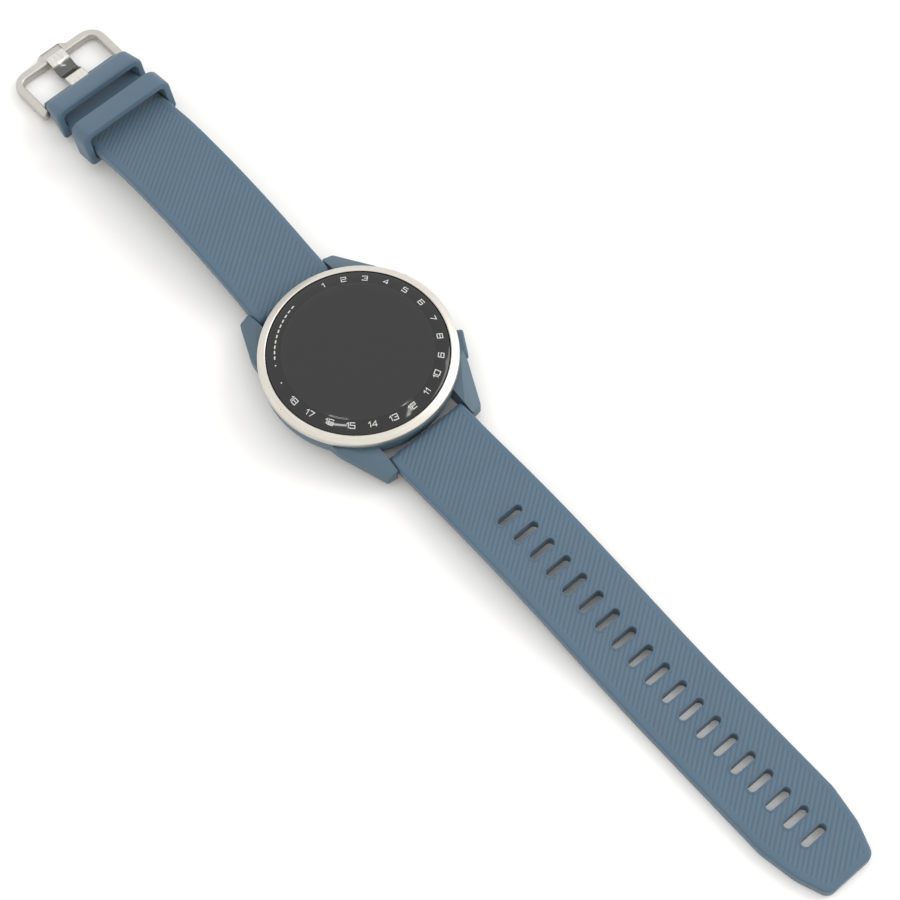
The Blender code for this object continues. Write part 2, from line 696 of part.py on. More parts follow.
def quick_release_bar(prefix, side):
    place = (0, side * LUG_BAR_OUT, LUG_BAR_HEIGHT)
    half = HALF_WIDTH - PART_GAP
    tip = LUG_INSIDE + BAR_TIP_DEPTH
    slot_length = RELEASE_TRAVEL + LEVER_WIDTH + 2 * RUNNING_GAP
    slot = block(prefix + "_slot", (slot_length, LEVER_WIDTH + 2 * RUNNING_GAP, 2 * BAR_TUBE_RADIUS),
                 (LEVER_X - RELEASE_TRAVEL / 2, place[1], place[2] - BAR_TUBE_RADIUS), cutter=True)
    barrel = cut(tube(prefix + "_tube", half, SATIN_STEEL, place), slot)
    fixed = bar_tip(prefix + "_fixed_tip", half, tip, place, -1, FIXED_TIP_BODY)
    body = half - LEVER_X + LEVER_WIDTH / 2
    pin = bar_tip(prefix + "_release_pin", half, tip, place, 1, body)
    lever = rod(prefix + "_lever", LEVER_WIDTH / 2, -LEVER_REACH, 0,
                place=(LEVER_X, place[1], place[2]), steps=TINY_ROUND, cutter=True)
    join(pin, lever)
    middle = LEVER_X - LEVER_WIDTH - RELEASE_TRAVEL - SPRING_LENGTH / 2
    return barrel, fixed, pin, coil(prefix + "_spring", place, middle)


# Buckle: pieces are built in the frame's own plane and hang on one tilted empty

def hang_on_bar(obj, pivot):
    obj.parent = pivot
    return obj


def pivot_at(name, place, turn=(0, 0, 0)):
    """An empty on a hinge's axis."""
    pivot = bpy.data.objects.new(name, None)
    pivot.location = place
    pivot.rotation_euler = turn
    PARTS.objects.link(pivot)
    return pivot


def swing_from(pivot, *pieces):
    """Makes the pieces turn with the pivot, and leaves them where they are."""
    for piece in pieces:
        piece.parent = pivot
        piece.matrix_parent_inverse = Matrix.Translation(pivot.location).inverted()


def buckle_outline():
    """The frame from above: a U closed by the bar, with a lobe on the middle of its front."""
    inside = LUG_INSIDE
    outside = inside + BUCKLE_ARM_WIDTH
    front = BUCKLE_FRONT_INSIDE + BUCKLE_FRONT_WIDTH
    half = [
        (inside, BUCKLE_FRONT_INSIDE, 1.6 * MM),
        (inside, -BUCKLE_ARM_BACK, 0.9 * MM),
        (outside, -BUCKLE_ARM_BACK, 0.9 * MM),
        (outside, front, BUCKLE_CORNER),
        (BUCKLE_LOBE_HALF + 1.2 * MM, front, 0.8 * MM),
        (BUCKLE_LOBE_HALF - 0.2 * MM, front + BUCKLE_LOBE, 1.0 * MM),
    ]
    left = [(-x, y, radius) for x, y, radius in reversed(half)]
    return rounded(half + left)


def buckle_frame(pivot):
    half = BUCKLE_THICKNESS / 2
    frame = prism("buckle_frame", [buckle_outline()], -half, half, SATIN_STEEL)
    soften(frame, BUCKLE_EDGE, 1)
    holes = rod("buckle_tip_holes", BAR_TIP_RADIUS + RUNNING_GAP, -LUG_HOLE_DEPTH, LUG_HOLE_DEPTH,
                turn=ALONG_X, steps=TINY_ROUND, cutter=True)
    notch = block("tongue_notch", (TONGUE_WIDTH + PART_GAP, 2 * BUCKLE_FRONT_WIDTH, 2 * TONGUE_NOTCH_DEPTH),
                  (0, BUCKLE_FRONT_INSIDE + BUCKLE_FRONT_WIDTH / 2, half), cutter=True)
    cut(frame, hang_on_bar(holes, pivot), hang_on_bar(notch, pivot))
    return hang_on_bar(frame, pivot)


def tongue_path():
    """The middle line of the tongue strip: round the bar, flat, down in a dip, up onto the front bar."""
    wrap = [Vector(point) for point in arc((0, 0), TONGUE_BARREL, 320, 90, 12)]
    rest = BUCKLE_THICKNESS / 2 - TONGUE_NOTCH_DEPTH + SEAT_GAP + TONGUE_THICKNESS / 2
    flat_end = Vector((TONGUE_FLAT, TONGUE_BARREL))
    low = Vector((TONGUE_DIP_AT, rest - TONGUE_DIP))
    tip_start = Vector((BUCKLE_FRONT_INSIDE - 0.7 * MM, rest))
    tip_end = Vector((BUCKLE_FRONT_INSIDE + BUCKLE_FRONT_WIDTH, rest))
    down = [flat_end.lerp(low, 0.33) + Vector((0.9 * MM, -0.2 * MM)), low - Vector((1.4 * MM, 0))]
    up = [low + Vector((1.4 * MM, 0)), tip_start - Vector((1.0 * MM, 0.1 * MM))]
    dip = bezier(flat_end, down, low) + bezier(low, up, tip_start)[1:]
    return wrap + dip + [tip_end]


def bezier(start, handles, end, count=6):
    flat = [Vector((*point, 0)) for point in (start, *handles, end)]
    return [point.xy for point in interpolate(*flat, count)]


def interpolate(start, first, second, end, count):
    points = []
    for i in range(count + 1):
        t = i / count
        near = start.lerp(first, t).lerp(first.lerp(second, t), t)
        far = first.lerp(second, t).lerp(second.lerp(end, t), t)
        points.append(near.lerp(far, t))
    return points


def ribbon(path, thickness):
    """The closed outline of a strip of this thickness along a path."""
    left = []
    right = []
    for i, point in enumerate(path):
        along = (path[min(i + 1, len(path) - 1)] - path[max(i - 1, 0)]).normalized()
        normal = Vector((-along.y, along.x)) * (thickness / 2)
        left.append(tuple(point + normal))
        right.append(tuple(point - normal))
    return left + right[::-1]


def buckle_tongue(pivot):
    outline = ribbon(tongue_path(), TONGUE_THICKNESS)
    half = TONGUE_WIDTH / 2
    tongue = prism("buckle_tongue", [outline], -half, half, BRIGHT_STEEL, turn=SIDE_PLANE)
    return hang_on_bar(tongue, pivot)


def buckle_bar(pivot):
    half = HALF_WIDTH - PART_GAP
    tip = LUG_INSIDE + BAR_TIP_DEPTH
    body = BUCKLE_TIP_BODY
    hang_on_bar(tube("buckle_bar_tube", half, SATIN_STEEL, (0, 0, 0)), pivot)
    hang_on_bar(bar_tip("buckle_bar_tip_right", half, tip, (0, 0, 0), 1, body), pivot)
    hang_on_bar(bar_tip("buckle_bar_tip_left", half, tip, (0, 0, 0), -1, body), pivot)
    hang_on_bar(coil("buckle_bar_spring", (0, 0, 0), 0), pivot)


# Case

def case_profile():
    """The case wall seen in section: down its bowed outer side, then back up its bore."""
    wall_top = CASE_TOP - CASE_EDGE
    outside = arc((0, 0), 1.0, 90, 0, 6)
    bowed = [(CASE_FOOT_RADIUS + CASE_FOOT_INSET * y, wall_top + (CASE_FOOT - wall_top) * x)
             for x, y in outside]
    return [(CASE_RADIUS - CASE_EDGE, CASE_TOP)] + bowed + [
        (BACK_OPENING, CASE_FOOT),
        (BACK_OPENING, CASE_FLOOR_TOP),
        (CAVITY_RADIUS, CASE_FLOOR_TOP),
        (CAVITY_RADIUS, CAVITY_TOP),
        (WINDOW_RADIUS, CAVITY_TOP),
        (WINDOW_RADIUS, CASE_TOP),
    ]


def lugs():
    """One lug from above crossed with its side view, then mirrored into all four."""
    tip = LUG_INSIDE + LUG_TIP_WIDTH
    flare = CASE_RADIUS + LUG_ROOT_FLARE
    root_x = flare * math.cos(LUG_ROOT_ANGLE)
    root_out = flare * math.sin(LUG_ROOT_ANGLE)
    inner = root_out - 5 * MM
    plan = rounded([
        (LUG_INSIDE, root_out, 0.0),
        (root_x, inner, 0.0),
        (root_x, root_out, 6.0 * MM),
        (tip, LUG_TIP_OUT - 0.4 * MM, 0.8 * MM),
        (LUG_INSIDE, LUG_TIP_OUT, 0.4 * MM),
    ], 3)
    end = LUG_TIP_OUT + PART_GAP
    side = rounded([
        (inner, LUG_BOTTOM, 0.0),
        (LUG_TIP_OUT - 3.2 * MM, LUG_BOTTOM, 2.0 * MM),
        (end, LUG_TIP_BOTTOM, 0.9 * MM),
        (end, LUG_TIP_TOP, 0.9 * MM),
        (LUG_TIP_OUT - 5.0 * MM, CASE_TOP - 1.5 * MM, 6.0 * MM),
        (root_out, CASE_TOP - 0.5 * MM, 2.0 * MM),
        (inner, CASE_TOP - 0.5 * MM, 0.0),
    ], 3)
    lug = prism("lugs", [plan], 0, CASE_TOP, cutter=True)
    combine(lug, prism("lug_side", [side], -FAR, FAR, turn=SIDE_PLANE, cutter=True), "INTERSECT")
    return mirror(lug, True, True)


def cavity_clearer():
    """Clears what the lugs would leave inside the case bore and under the back."""
    profile = [
        (0, CASE_TOP + BEYOND),
        (WINDOW_RADIUS, CASE_TOP + BEYOND),
        (WINDOW_RADIUS, CAVITY_TOP),
        (CAVITY_RADIUS, CAVITY_TOP),
        (CAVITY_RADIUS, CASE_FLOOR_TOP),
        (BACK_OPENING, CASE_FLOOR_TOP),
        (BACK_OPENING, 0),
        (0, 0),
    ]
    return turned("case_cavity", profile, cutter=True)


def strap_reliefs():
    """Flats between the lugs, which let the strap's round root turn."""
    depth = CASE_RADIUS
    outline = rectangle(-LUG_INSIDE, LUG_INSIDE, LUG_RELIEF_OUT, LUG_RELIEF_OUT + depth)
    return mirror(prism("strap_relief", [outline], 0, LUG_RELIEF_TOP, cutter=True), False, True)


def lug_tip_holes(name, side):
    return rod(name, BAR_TIP_RADIUS + RUNNING_GAP, -LUG_HOLE_DEPTH, LUG_HOLE_DEPTH,
               place=(0, side * LUG_BAR_OUT, LUG_BAR_HEIGHT), turn=ALONG_X, steps=TINY_ROUND, cutter=True)


def screw_places():
    angles = [math.radians(45 + 90 * i) for i in range(4)]
    return [(SCREW_CIRCLE * math.cos(a), SCREW_CIRCLE * math.sin(a), 0) for a in angles]


def middle_case():
    case = turned("middle_case", case_profile(), POLYMER)
    join(case, lugs())
    cut(case, cavity_clearer(), strap_reliefs())
    cut(case, lug_tip_holes("lower_tip_holes", -1), lug_tip_holes("upper_tip_holes", 1))
    for number, place in enumerate(screw_places(), 1):
        top = CASE_FLOOR_TOP + BOSS_HEIGHT
        boss = rod(f"boss_{number}", BOSS_RADIUS, CASE_FOOT + PART_GAP, top, place=place, cutter=True)
        hole = rod(f"screw_hole_{number}", SCREW_RADIUS + RUNNING_GAP, 0, top - PART_GAP / 2, place=place,
                   steps=TINY_ROUND, cutter=True)
        cut(join(case, boss), hole)
    for name, side in BUTTON_SIDES:
        cut(case, button_pocket(name, side), stem_bore(name, side))
    return case


GROOVE_LOW = CASE_FOOT + PART_GAP
GROOVE_HIGH = GROOVE_LOW + GASKET_GROOVE_HEIGHT


def rear_cover():
    groove = SPIGOT_RADIUS - GASKET_GROOVE_DEPTH
    profile = [
        (0, SPIGOT_TOP),
        (SPIGOT_RADIUS, SPIGOT_TOP),
        (SPIGOT_RADIUS, GROOVE_HIGH),
        (groove, GROOVE_HIGH),
        (groove, GROOVE_LOW),
        (SPIGOT_RADIUS, GROOVE_LOW),
        (SPIGOT_RADIUS, BACK_THICKNESS),
        (BACK_RADIUS, BACK_THICKNESS),
        (BACK_RADIUS, BACK_CHAMFER),
        (BACK_RADIUS - BACK_CHAMFER_WIDTH, 0),
        (0, 0),
    ]
    cover = turned("rear_cover", profile, POLYMER)
    room = 2 * PART_GAP
    hole = pill(0, PORT_Y, PORT_LENGTH + room, PORT_WIDTH + room)
    cut(cover, prism("port_hole", [hole], -BEYOND, SPIGOT_TOP + BEYOND, cutter=True))
    head = SCREW_HEAD_RADIUS + RUNNING_GAP
    shank = SCREW_RADIUS + RUNNING_GAP
    seat = SCREW_HEAD_SUNK + SCREW_HEAD_HEIGHT + SEAT_GAP
    for number, place in enumerate(screw_places(), 1):
        recess = [
            (0, BACK_THICKNESS + BEYOND),
            (shank, BACK_THICKNESS + BEYOND),
            (shank, seat),
            (head, seat),
            (head, -BEYOND),
            (0, -BEYOND),
        ]
        cut(cover, turned(f"head_recess_{number}", recess, place=place, steps=TINY_ROUND, cutter=True))
    return cover


def rear_gasket():
    inner = SPIGOT_RADIUS - GASKET_GROOVE_DEPTH + SEAT_GAP
    return ring("rear_gasket", inner, SPIGOT_RADIUS + RUNNING_GAP, GROOVE_LOW + GROOVE_PLAY,
                GROOVE_HIGH - GROOVE_PLAY, BLACK_RUBBER, steps=ROUND)


def rear_screws():
    head_low = SCREW_HEAD_SUNK
    head_high = head_low + SCREW_HEAD_HEIGHT
    for number, place in enumerate(screw_places(), 1):
        profile = [
            (0, head_low + SCREW_LENGTH),
            (SCREW_RADIUS, head_low + SCREW_LENGTH),
            (SCREW_RADIUS, head_high),
            (SCREW_HEAD_RADIUS, head_high),
            (SCREW_HEAD_RADIUS, head_low),
            (0, head_low),
        ]
        screw = turned(f"rear_screw_{number}", profile, SATIN_STEEL, place, steps=TINY_ROUND)
        size = (3 * SCREW_HEAD_RADIUS, DRIVER_SLOT, SCREW_HEAD_HEIGHT)
        cut(screw, block(f"driver_slot_{number}", size, (place[0], place[1], head_low), cutter=True))


def charging_port():
    insert = prism("charging_port", [pill(0, PORT_Y, PORT_LENGTH, PORT_WIDTH)], PORT_RECESS, PORT_TOP,
                   BLACK_PLASTIC)
    first = -PIN_PITCH * (PIN_COUNT - 1) / 2
    for number in range(1, PIN_COUNT + 1):
        place = (first + PIN_PITCH * (number - 1), PORT_Y, 0)
        cut(insert, rod(f"pin_hole_{number}", PIN_RADIUS + RUNNING_GAP, 0, PORT_TOP + BEYOND, place=place,
                        steps=TINY_ROUND, cutter=True))
        rod(f"charging_pin_{number}", PIN_RADIUS, PORT_RECESS + SEAT_GAP, PORT_TOP + SEAT_GAP, GOLD, place,
            steps=TINY_ROUND)


def bezel_ring():
    inner = GLASS_RADIUS + SEAT_GAP
    profile = [
        (inner + 0.25 * MM, BEZEL_TOP),
        (BEZEL_RADIUS - 0.1 * MM, BEZEL_EDGE_TOP),
        (BEZEL_RADIUS, BEZEL_EDGE_TOP - 0.15 * MM),
        (BEZEL_RADIUS, CASE_TOP + SEAT_GAP),
        (inner, CASE_TOP + SEAT_GAP),
        (inner, BEZEL_TOP - 0.2 * MM),
    ]
    return turned("bezel_ring", profile, SATIN_STEEL)


def cover_glass():
    """A lens with a nearly flat middle that falls off to a curved rim."""
    dome = []
    for i in range(7):
        share = i / 6
        radius = GLASS_RADIUS * share
        dome.append((radius, TOTAL_HEIGHT - (TOTAL_HEIGHT - GLASS_EDGE_TOP) * share**4))
    profile = dome + [(GLASS_RADIUS, GLASS_BOTTOM), (0, GLASS_BOTTOM)]
    return turned("cover_glass", profile, GLASS)


def display_stack():
    outer = GLASS_RADIUS - 2 * SEAT_GAP
    ring("lens_gasket", outer - GASKET_WIDTH, outer, CASE_TOP + SEAT_GAP, GLASS_BOTTOM - SEAT_GAP,
         BLACK_RUBBER, steps=ROUND)
    rod("display_panel", DISPLAY_RADIUS, DISPLAY_BOTTOM, DISPLAY_BOTTOM + DISPLAY_THICKNESS, DISPLAY,
        steps=ROUND)
    ring("inner_frame", FRAME_RING_RADIUS - FRAME_RING_WIDTH, FRAME_RING_RADIUS, BOARD_TOP + SEAT_GAP,
         DISPLAY_BOTTOM - SEAT_GAP, BLACK_PLASTIC, steps=ROUND)


def display_flex():
    """The ribbon that folds back from the display to the board."""
    high = DISPLAY_BOTTOM - 2 * SEAT_GAP
    low = BOARD_TOP + 2 * SEAT_GAP
    bend = arc((FLEX_FOLD_X, (high + low) / 2), (high - low) / 2, 90, 270, 6)
    on_display = (FLEX_FOLD_X + FLEX_ON_DISPLAY, high)
    on_board = (FLEX_FOLD_X + FLEX_ON_BOARD, low)
    path = [Vector(point) for point in [on_display, *bend, on_board]]
    half = FLEX_WIDTH / 2
    return prism("display_flex", [ribbon(path, FLEX_THICKNESS)], -half, half, POLYIMIDE,
                 turn=(math.pi / 2, 0, 0))


def solder_down(name, size, place, material):
    """A flat component soldered on the board's upper side."""
    return block(name, size, (*place, BOARD_TOP + SEAT_GAP / 2 + size[2] / 2), material)


def electronics():
    rod("circuit_board", BOARD_RADIUS, BOARD_BOTTOM, BOARD_TOP, BOARD, steps=ROUND)
    solder_down("main_chip", CHIP_SIZE, CHIP_PLACE, BLACK_PLASTIC)
    solder_down("gps_antenna", ANTENNA_SIZE, ANTENNA_PLACE, CERAMIC)
    size = (BATTERY_LENGTH, BATTERY_WIDTH, BATTERY_THICKNESS)
    soften(block("battery", size, (BATTERY_X, 0, BATTERY_FLOOR + size[2] / 2), FOIL), BATTERY_EDGE, 1)


def vibration_motor():
    """A coin motor: a can over a base, with an off-centre weight that turns on the middle pin."""
    floor = SPIGOT_TOP + 2 * SEAT_GAP
    roof = floor + BUZZER_HEIGHT - BUZZER_WALL
    base_top = floor + BUZZER_BASE
    inside = BUZZER_RADIUS - BUZZER_WALL
    can = [
        (0, roof + BUZZER_WALL),
        (BUZZER_RADIUS, roof + BUZZER_WALL),
        (BUZZER_RADIUS, base_top + SEAT_GAP),
        (inside, base_top + SEAT_GAP),
        (inside, roof),
        (0, roof),
    ]
    turned("buzzer_can", can, SATIN_STEEL, BUZZER_PLACE, steps=SMALL_ROUND)
    base = [
        (0, roof - SEAT_GAP),
        (BUZZER_PIN_RADIUS, roof - SEAT_GAP),
        (BUZZER_PIN_RADIUS, base_top),
        (BUZZER_RADIUS, base_top),
        (BUZZER_RADIUS, floor),
        (0, floor),
    ]
    turned("buzzer_base", base, BLACK_PLASTIC, BUZZER_PLACE, steps=SMALL_ROUND)
    weight = arc((0, 0), inside - PART_GAP, -80, 80, 10) + arc((0, 0), BUZZER_HUB_RADIUS, 80, 280, 8)
    hole = arc((0, 0), BUZZER_PIN_RADIUS + RUNNING_GAP, 0, 330, 11)
    prism("buzzer_rotor", [weight, hole], base_top + PART_GAP, roof - PART_GAP, SATIN_STEEL,
          BUZZER_PLACE)


# Buttons: pieces are turned along their own axis, which points out of the case at BUTTON_ANGLE

BUTTON_SIDES = (("upper", 1), ("lower", -1))


def button_turn(side):
    return (0, math.pi / 2, side * BUTTON_ANGLE)


BUTTON_CENTER = (0, 0, BUTTON_HEIGHT)


def button_outline(room):
    """The cap from outside, long way round the case, with room added all round."""
    return [(y, x) for x, y in pill(0, 0, BUTTON_LENGTH + 2 * room, BUTTON_TALL + 2 * room)]


def button_pocket(name, side):
    return prism(name + "_button_pocket", [button_outline(PART_GAP)], BUTTON_POCKET, BUTTON_OUT + BEYOND,
                 place=BUTTON_CENTER, turn=button_turn(side), cutter=True)


def stem_bore(name, side):
    return rod(name + "_stem_bore", STEM_BORE_RADIUS, CAVITY_RADIUS - BEYOND, BUTTON_POCKET + BEYOND,
               place=BUTTON_CENTER, turn=button_turn(side), cutter=True)


def button(name, side):
    turn = button_turn(side)
    cap_back = BUTTON_POCKET + BUTTON_TRAVEL + BUTTON_STOP_GAP
    cap = prism(name + "_button", [button_outline(0)], cap_back, BUTTON_OUT, POLYMER, BUTTON_CENTER, turn)
    soften(cap, BUTTON_EDGE, 1)
    clip_low = CAVITY_RADIUS - CLIP_GAP - CLIP_THICKNESS
    clip_high = clip_low + CLIP_THICKNESS
    seal_high = SEAL_INNER + SEAL_LENGTH
    groove = STEM_GROOVE_RADIUS
    stem_profile = [
        (0, cap_back + BUTTON_EDGE),
        (STEM_RADIUS, cap_back + BUTTON_EDGE),
        (STEM_RADIUS, seal_high + GROOVE_PLAY),
        (groove, seal_high + GROOVE_PLAY),
        (groove, SEAL_INNER - GROOVE_PLAY),
        (STEM_RADIUS, SEAL_INNER - GROOVE_PLAY),
        (STEM_RADIUS, clip_high + GROOVE_PLAY),
        (groove, clip_high + GROOVE_PLAY),
        (groove, clip_low - GROOVE_PLAY),
        (STEM_RADIUS, clip_low - GROOVE_PLAY),
        (STEM_RADIUS, STEM_END),
        (0, STEM_END),
    ]
    join(cap, turned(name + "_stem", stem_profile, place=BUTTON_CENTER, turn=turn, steps=SMALL_ROUND,
                     cutter=True))
    ring(name + "_button_seal", groove + GROOVE_PLAY, STEM_BORE_RADIUS - GROOVE_PLAY, SEAL_INNER,
         seal_high, BLACK_RUBBER, BUTTON_CENTER, turn)
    ring(name + "_button_clip", groove + GROOVE_PLAY, CLIP_RADIUS, clip_low, clip_high, BRIGHT_STEEL,
         BUTTON_CENTER, turn)


def switch(name, side):
    turn = button_turn(side)
    plunger_out = STEM_END - SEAT_GAP
    plunger_in = plunger_out - PLUNGER_LENGTH
    rod(name + "_switch_plunger", PLUNGER_RADIUS, plunger_in, plunger_out, BLACK_PLASTIC,
        BUTTON_CENTER, turn, TINY_ROUND)
    direction = Vector((math.cos(BUTTON_ANGLE), side * math.sin(BUTTON_ANGLE), 0))
    top = BOARD_BOTTOM - SEAT_GAP
    bottom = 2 * BUTTON_HEIGHT - top
    center = direction * (SWITCH_FACE - SWITCH_DEPTH / 2) + Vector((0, 0, (top + bottom) / 2))
    body = block(name + "_switch", (SWITCH_DEPTH, SWITCH_WIDTH, top - bottom), center, BLACK_PLASTIC,
                 (0, 0, side * BUTTON_ANGLE))
    well = rod(name + "_plunger_well", PLUNGER_RADIUS + RUNNING_GAP,
               plunger_in - BUTTON_TRAVEL - SEAT_GAP, SWITCH_FACE + BEYOND, place=BUTTON_CENTER,
               turn=turn, steps=TINY_ROUND, cutter=True)
    cut(body, well)


def watch():
    middle_case()
    rear_cover()
    rear_gasket()
    rear_screws()
    charging_port()
    bezel_ring()
    cover_glass()
    display_stack()
    display_flex()
    electronics()
    vibration_motor()
    for name, side in BUTTON_SIDES:
        button(name, side)
        switch(name, side)
    lower_pivot = pivot_at("lower_strap_pivot", (0, -LUG_BAR_OUT, LUG_BAR_HEIGHT))
    upper_pivot = pivot_at("upper_strap_pivot", (0, LUG_BAR_OUT, LUG_BAR_HEIGHT))
    swing_from(lower_pivot, lower_strap(), *quick_release_bar("lower_bar", -1))
    swing_from(upper_pivot, upper_strap(), free_keeper(), *quick_release_bar("upper_bar", 1))
    pivot = pivot_at("buckle_pivot", (0, BUCKLE_BAR_OUT, BUCKLE_BAR_HEIGHT), (-BUCKLE_TILT, 0, 0))
    buckle_frame(pivot)
    buckle_tongue(pivot)
    buckle_bar(pivot)
    swing_from(upper_pivot, pivot)


watch()
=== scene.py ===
# %% [markdown]
# # A golf GPS watch, laid open on a table
# The watch is a round blue polymer case with a metal bezel and a domed black glass, held by two
# silicone straps on quick-release bars. One strap ends in a pin buckle, the other is full of slots.
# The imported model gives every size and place, so it is loaded first and never moved. Each visible
# piece is then rebuilt finely in the same place, and each hidden one gets a better finish.

import math

import bmesh
import bpy
from mathutils import Euler, Matrix, Vector


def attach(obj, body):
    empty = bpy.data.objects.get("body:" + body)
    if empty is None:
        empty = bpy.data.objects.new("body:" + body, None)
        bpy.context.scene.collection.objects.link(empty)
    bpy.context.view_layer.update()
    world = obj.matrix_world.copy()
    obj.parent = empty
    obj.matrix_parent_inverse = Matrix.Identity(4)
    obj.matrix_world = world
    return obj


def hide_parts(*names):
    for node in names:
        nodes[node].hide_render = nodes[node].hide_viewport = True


MM = 0.001
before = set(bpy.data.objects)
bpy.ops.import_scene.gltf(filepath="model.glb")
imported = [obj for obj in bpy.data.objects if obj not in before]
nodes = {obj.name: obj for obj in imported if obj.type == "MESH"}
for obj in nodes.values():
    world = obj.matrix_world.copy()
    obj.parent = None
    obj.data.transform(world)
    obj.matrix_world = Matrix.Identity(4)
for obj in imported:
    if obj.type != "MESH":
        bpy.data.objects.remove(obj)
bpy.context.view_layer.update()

# %% [markdown]
# # Camera
# The watch is seen from high above, over its lower left side. A camera can be placed by dragging,
# but four numbers say it better: how far round, how high, how far away, and a slight roll.

# %% Place the camera
AROUND = math.radians(-38.615)
ABOVE = math.radians(64.277)
ROLL = math.radians(-2.705)
DISTANCE = 532.386 * MM
AIM = Vector((2.549, -26.3, 0)) * MM


def look_from(around, above, roll):
    """The camera's right, up and back directions."""
    level = math.cos(above)
    back = Vector((math.sin(around) * level, -math.cos(around) * level, math.sin(above)))
    right = (-back).cross(Vector((0, 0, 1))).normalized()
    up = right.cross(-back)
    return (right * math.cos(roll) + up * math.sin(roll),
            up * math.cos(roll) - right * math.sin(roll), back)


camera_data = bpy.data.cameras.new("table_camera")
camera_data.sensor_width = 36.0
camera_data.lens = 100.71
camera_data.clip_start = 0.01
camera_data.clip_end = 20.0
camera = bpy.data.objects.new("table_camera", camera_data)
bpy.context.scene.collection.objects.link(camera)
right, up, back = look_from(AROUND, ABOVE, ROLL)
camera.matrix_world = Matrix.Translation(AIM + DISTANCE * back) @ Matrix((right, up, back)).transposed().to_4x4()
bpy.context.scene.camera = camera
bpy.context.scene.view_settings.view_transform = "Standard"
print("camera at", [round(value, 4) for value in camera.location])

# %% [markdown]
# # Shader arithmetic
# A finish is a small program: noise, lines and masks that end in a colour, a roughness and a bump.
# Wiring it by hand takes many lines, so one class wraps a socket and turns each Python operator
# into a Math node, and another holds a material and adds every other kind of node.

# %% Sockets that can be added and multiplied
def add_node(tree, kind, settings, sockets):
    """A node with its settings made first and then its sockets, which take a value or a link."""
    made = tree.nodes.new(kind)
    for setting, value in settings.items():
        if setting == "stops":
            ramp = made.color_ramp
            for element, (place, color) in zip([ramp.elements[0], ramp.elements[-1]], [value[0], value[-1]]):
                element.position = place
                element.color = (*color, 1.0)
            for place, color in value[1:-1]:
                ramp.elements.new(place).color = (*color, 1.0)
        else:
            setattr(made, setting, value)
    for name, value in sockets.items():
        feed(tree, made.inputs[name], value)
    return made


def feed(tree, socket, value):
    value = getattr(value, "socket", value)
    if isinstance(value, bpy.types.NodeSocket):
        tree.links.new(value, socket)
    elif socket.type == "RGBA":
        socket.default_value = (*value, 1.0)
    else:
        socket.default_value = value


class Wire:
    """A shader socket whose operators add Math nodes."""

    def __init__(self, finish, socket):
        self.finish = finish
        self.socket = socket

    def math(self, operation, *others):
        values = dict(enumerate((self, *others)))
        return self.finish.node("ShaderNodeMath", {"operation": operation}, values)

    def output(self, name):
        return Wire(self.finish, self.socket.node.outputs[name])

    def __add__(self, other):
        return self.math("ADD", other)

    def __mul__(self, other):
        return self.math("MULTIPLY", other)

    __radd__ = __add__
    __rmul__ = __mul__

    def __sub__(self, other):
        return self.math("SUBTRACT", other)

    def __rsub__(self, other):
        return self.finish.node("ShaderNodeMath", {"operation": "SUBTRACT"}, {0: other, 1: self})

    def __truediv__(self, other):
        return self.math("DIVIDE", other)

    def __pow__(self, power):
        return self.math("POWER", power)

    def __abs__(self):
        return self.math("ABSOLUTE")

    def step(self, low, high):
        """0 below low, 1 above high, and smooth between."""
        settings = {"interpolation_type": "SMOOTHSTEP"}
        return self.finish.node("ShaderNodeMapRange", settings, {"Value": self, "From Min": low, "From Max": high})

    def bell(self, middle, width):
        """1 at the middle, falling smoothly to 0 at this distance from it."""
        return 1 - abs(self - middle).step(0.0, width)


class Finish:
    """One material: its shader, and the nodes that vary it."""

    def __init__(self, name, constants):
        self.material = bpy.data.materials.new(name)
        self.material.use_nodes = True
        self.tree = self.material.node_tree
        self.shader = self.tree.nodes["Principled BSDF"]
        for label, value in constants.items():
            feed(self.tree, self.shader.inputs[label], value)
        coordinates = self.node("ShaderNodeTexCoord", {}, {}, "Object")
        self.place = self.node("ShaderNodeVectorMath", {"operation": "SCALE"}, {0: coordinates, "Scale": 1 / MM})
        self.x = self.node("ShaderNodeSeparateXYZ", {}, {"Vector": self.place}, "X")
        self.y = self.x.output("Y")
        self.z = self.x.output("Z")

    def node(self, kind, settings, sockets, output=0):
        return Wire(self, add_node(self.tree, kind, settings, sockets).outputs[output])

    def vector(self, x, y, z):
        return self.node("ShaderNodeCombineXYZ", {}, {"X": x, "Y": y, "Z": z})

    def noise(self, scale, detail=2.0, place=None, roughness=0.55):
        """Cloudy values round 0.5. The scale is how many lumps fit in a millimetre."""
        sockets = {"Vector": place or self.place, "Scale": scale, "Detail": detail, "Roughness": roughness}
        return self.node("ShaderNodeTexNoise", {}, sockets, "Fac")

    def cells(self, scale, output="Distance"):
        return self.node("ShaderNodeTexVoronoi", {}, {"Vector": self.place, "Scale": scale}, output)

    def blend(self, share, first, second):
        """The first color where the share is 0 and the second where it is 1."""
        return self.node("ShaderNodeMix", {"data_type": "RGBA"}, {0: share, 6: first, 7: second}, 2)

    def wear(self, color=None, roughness=None, height=None, **others):
        """Links what varies: color, roughness and a height in millimetres."""
        if color is not None:
            feed(self.tree, self.shader.inputs["Base Color"], color)
        if roughness is not None:
            feed(self.tree, self.shader.inputs["Roughness"], roughness)
        if height is not None:
            bump = self.node("ShaderNodeBump", {}, {"Height": height, "Distance": MM, "Strength": 1.0})
            feed(self.tree, self.shader.inputs["Normal"], bump)
        for label, value in others.items():
            feed(self.tree, self.shader.inputs[label.replace("_", " ").title()], value)
        return self.material


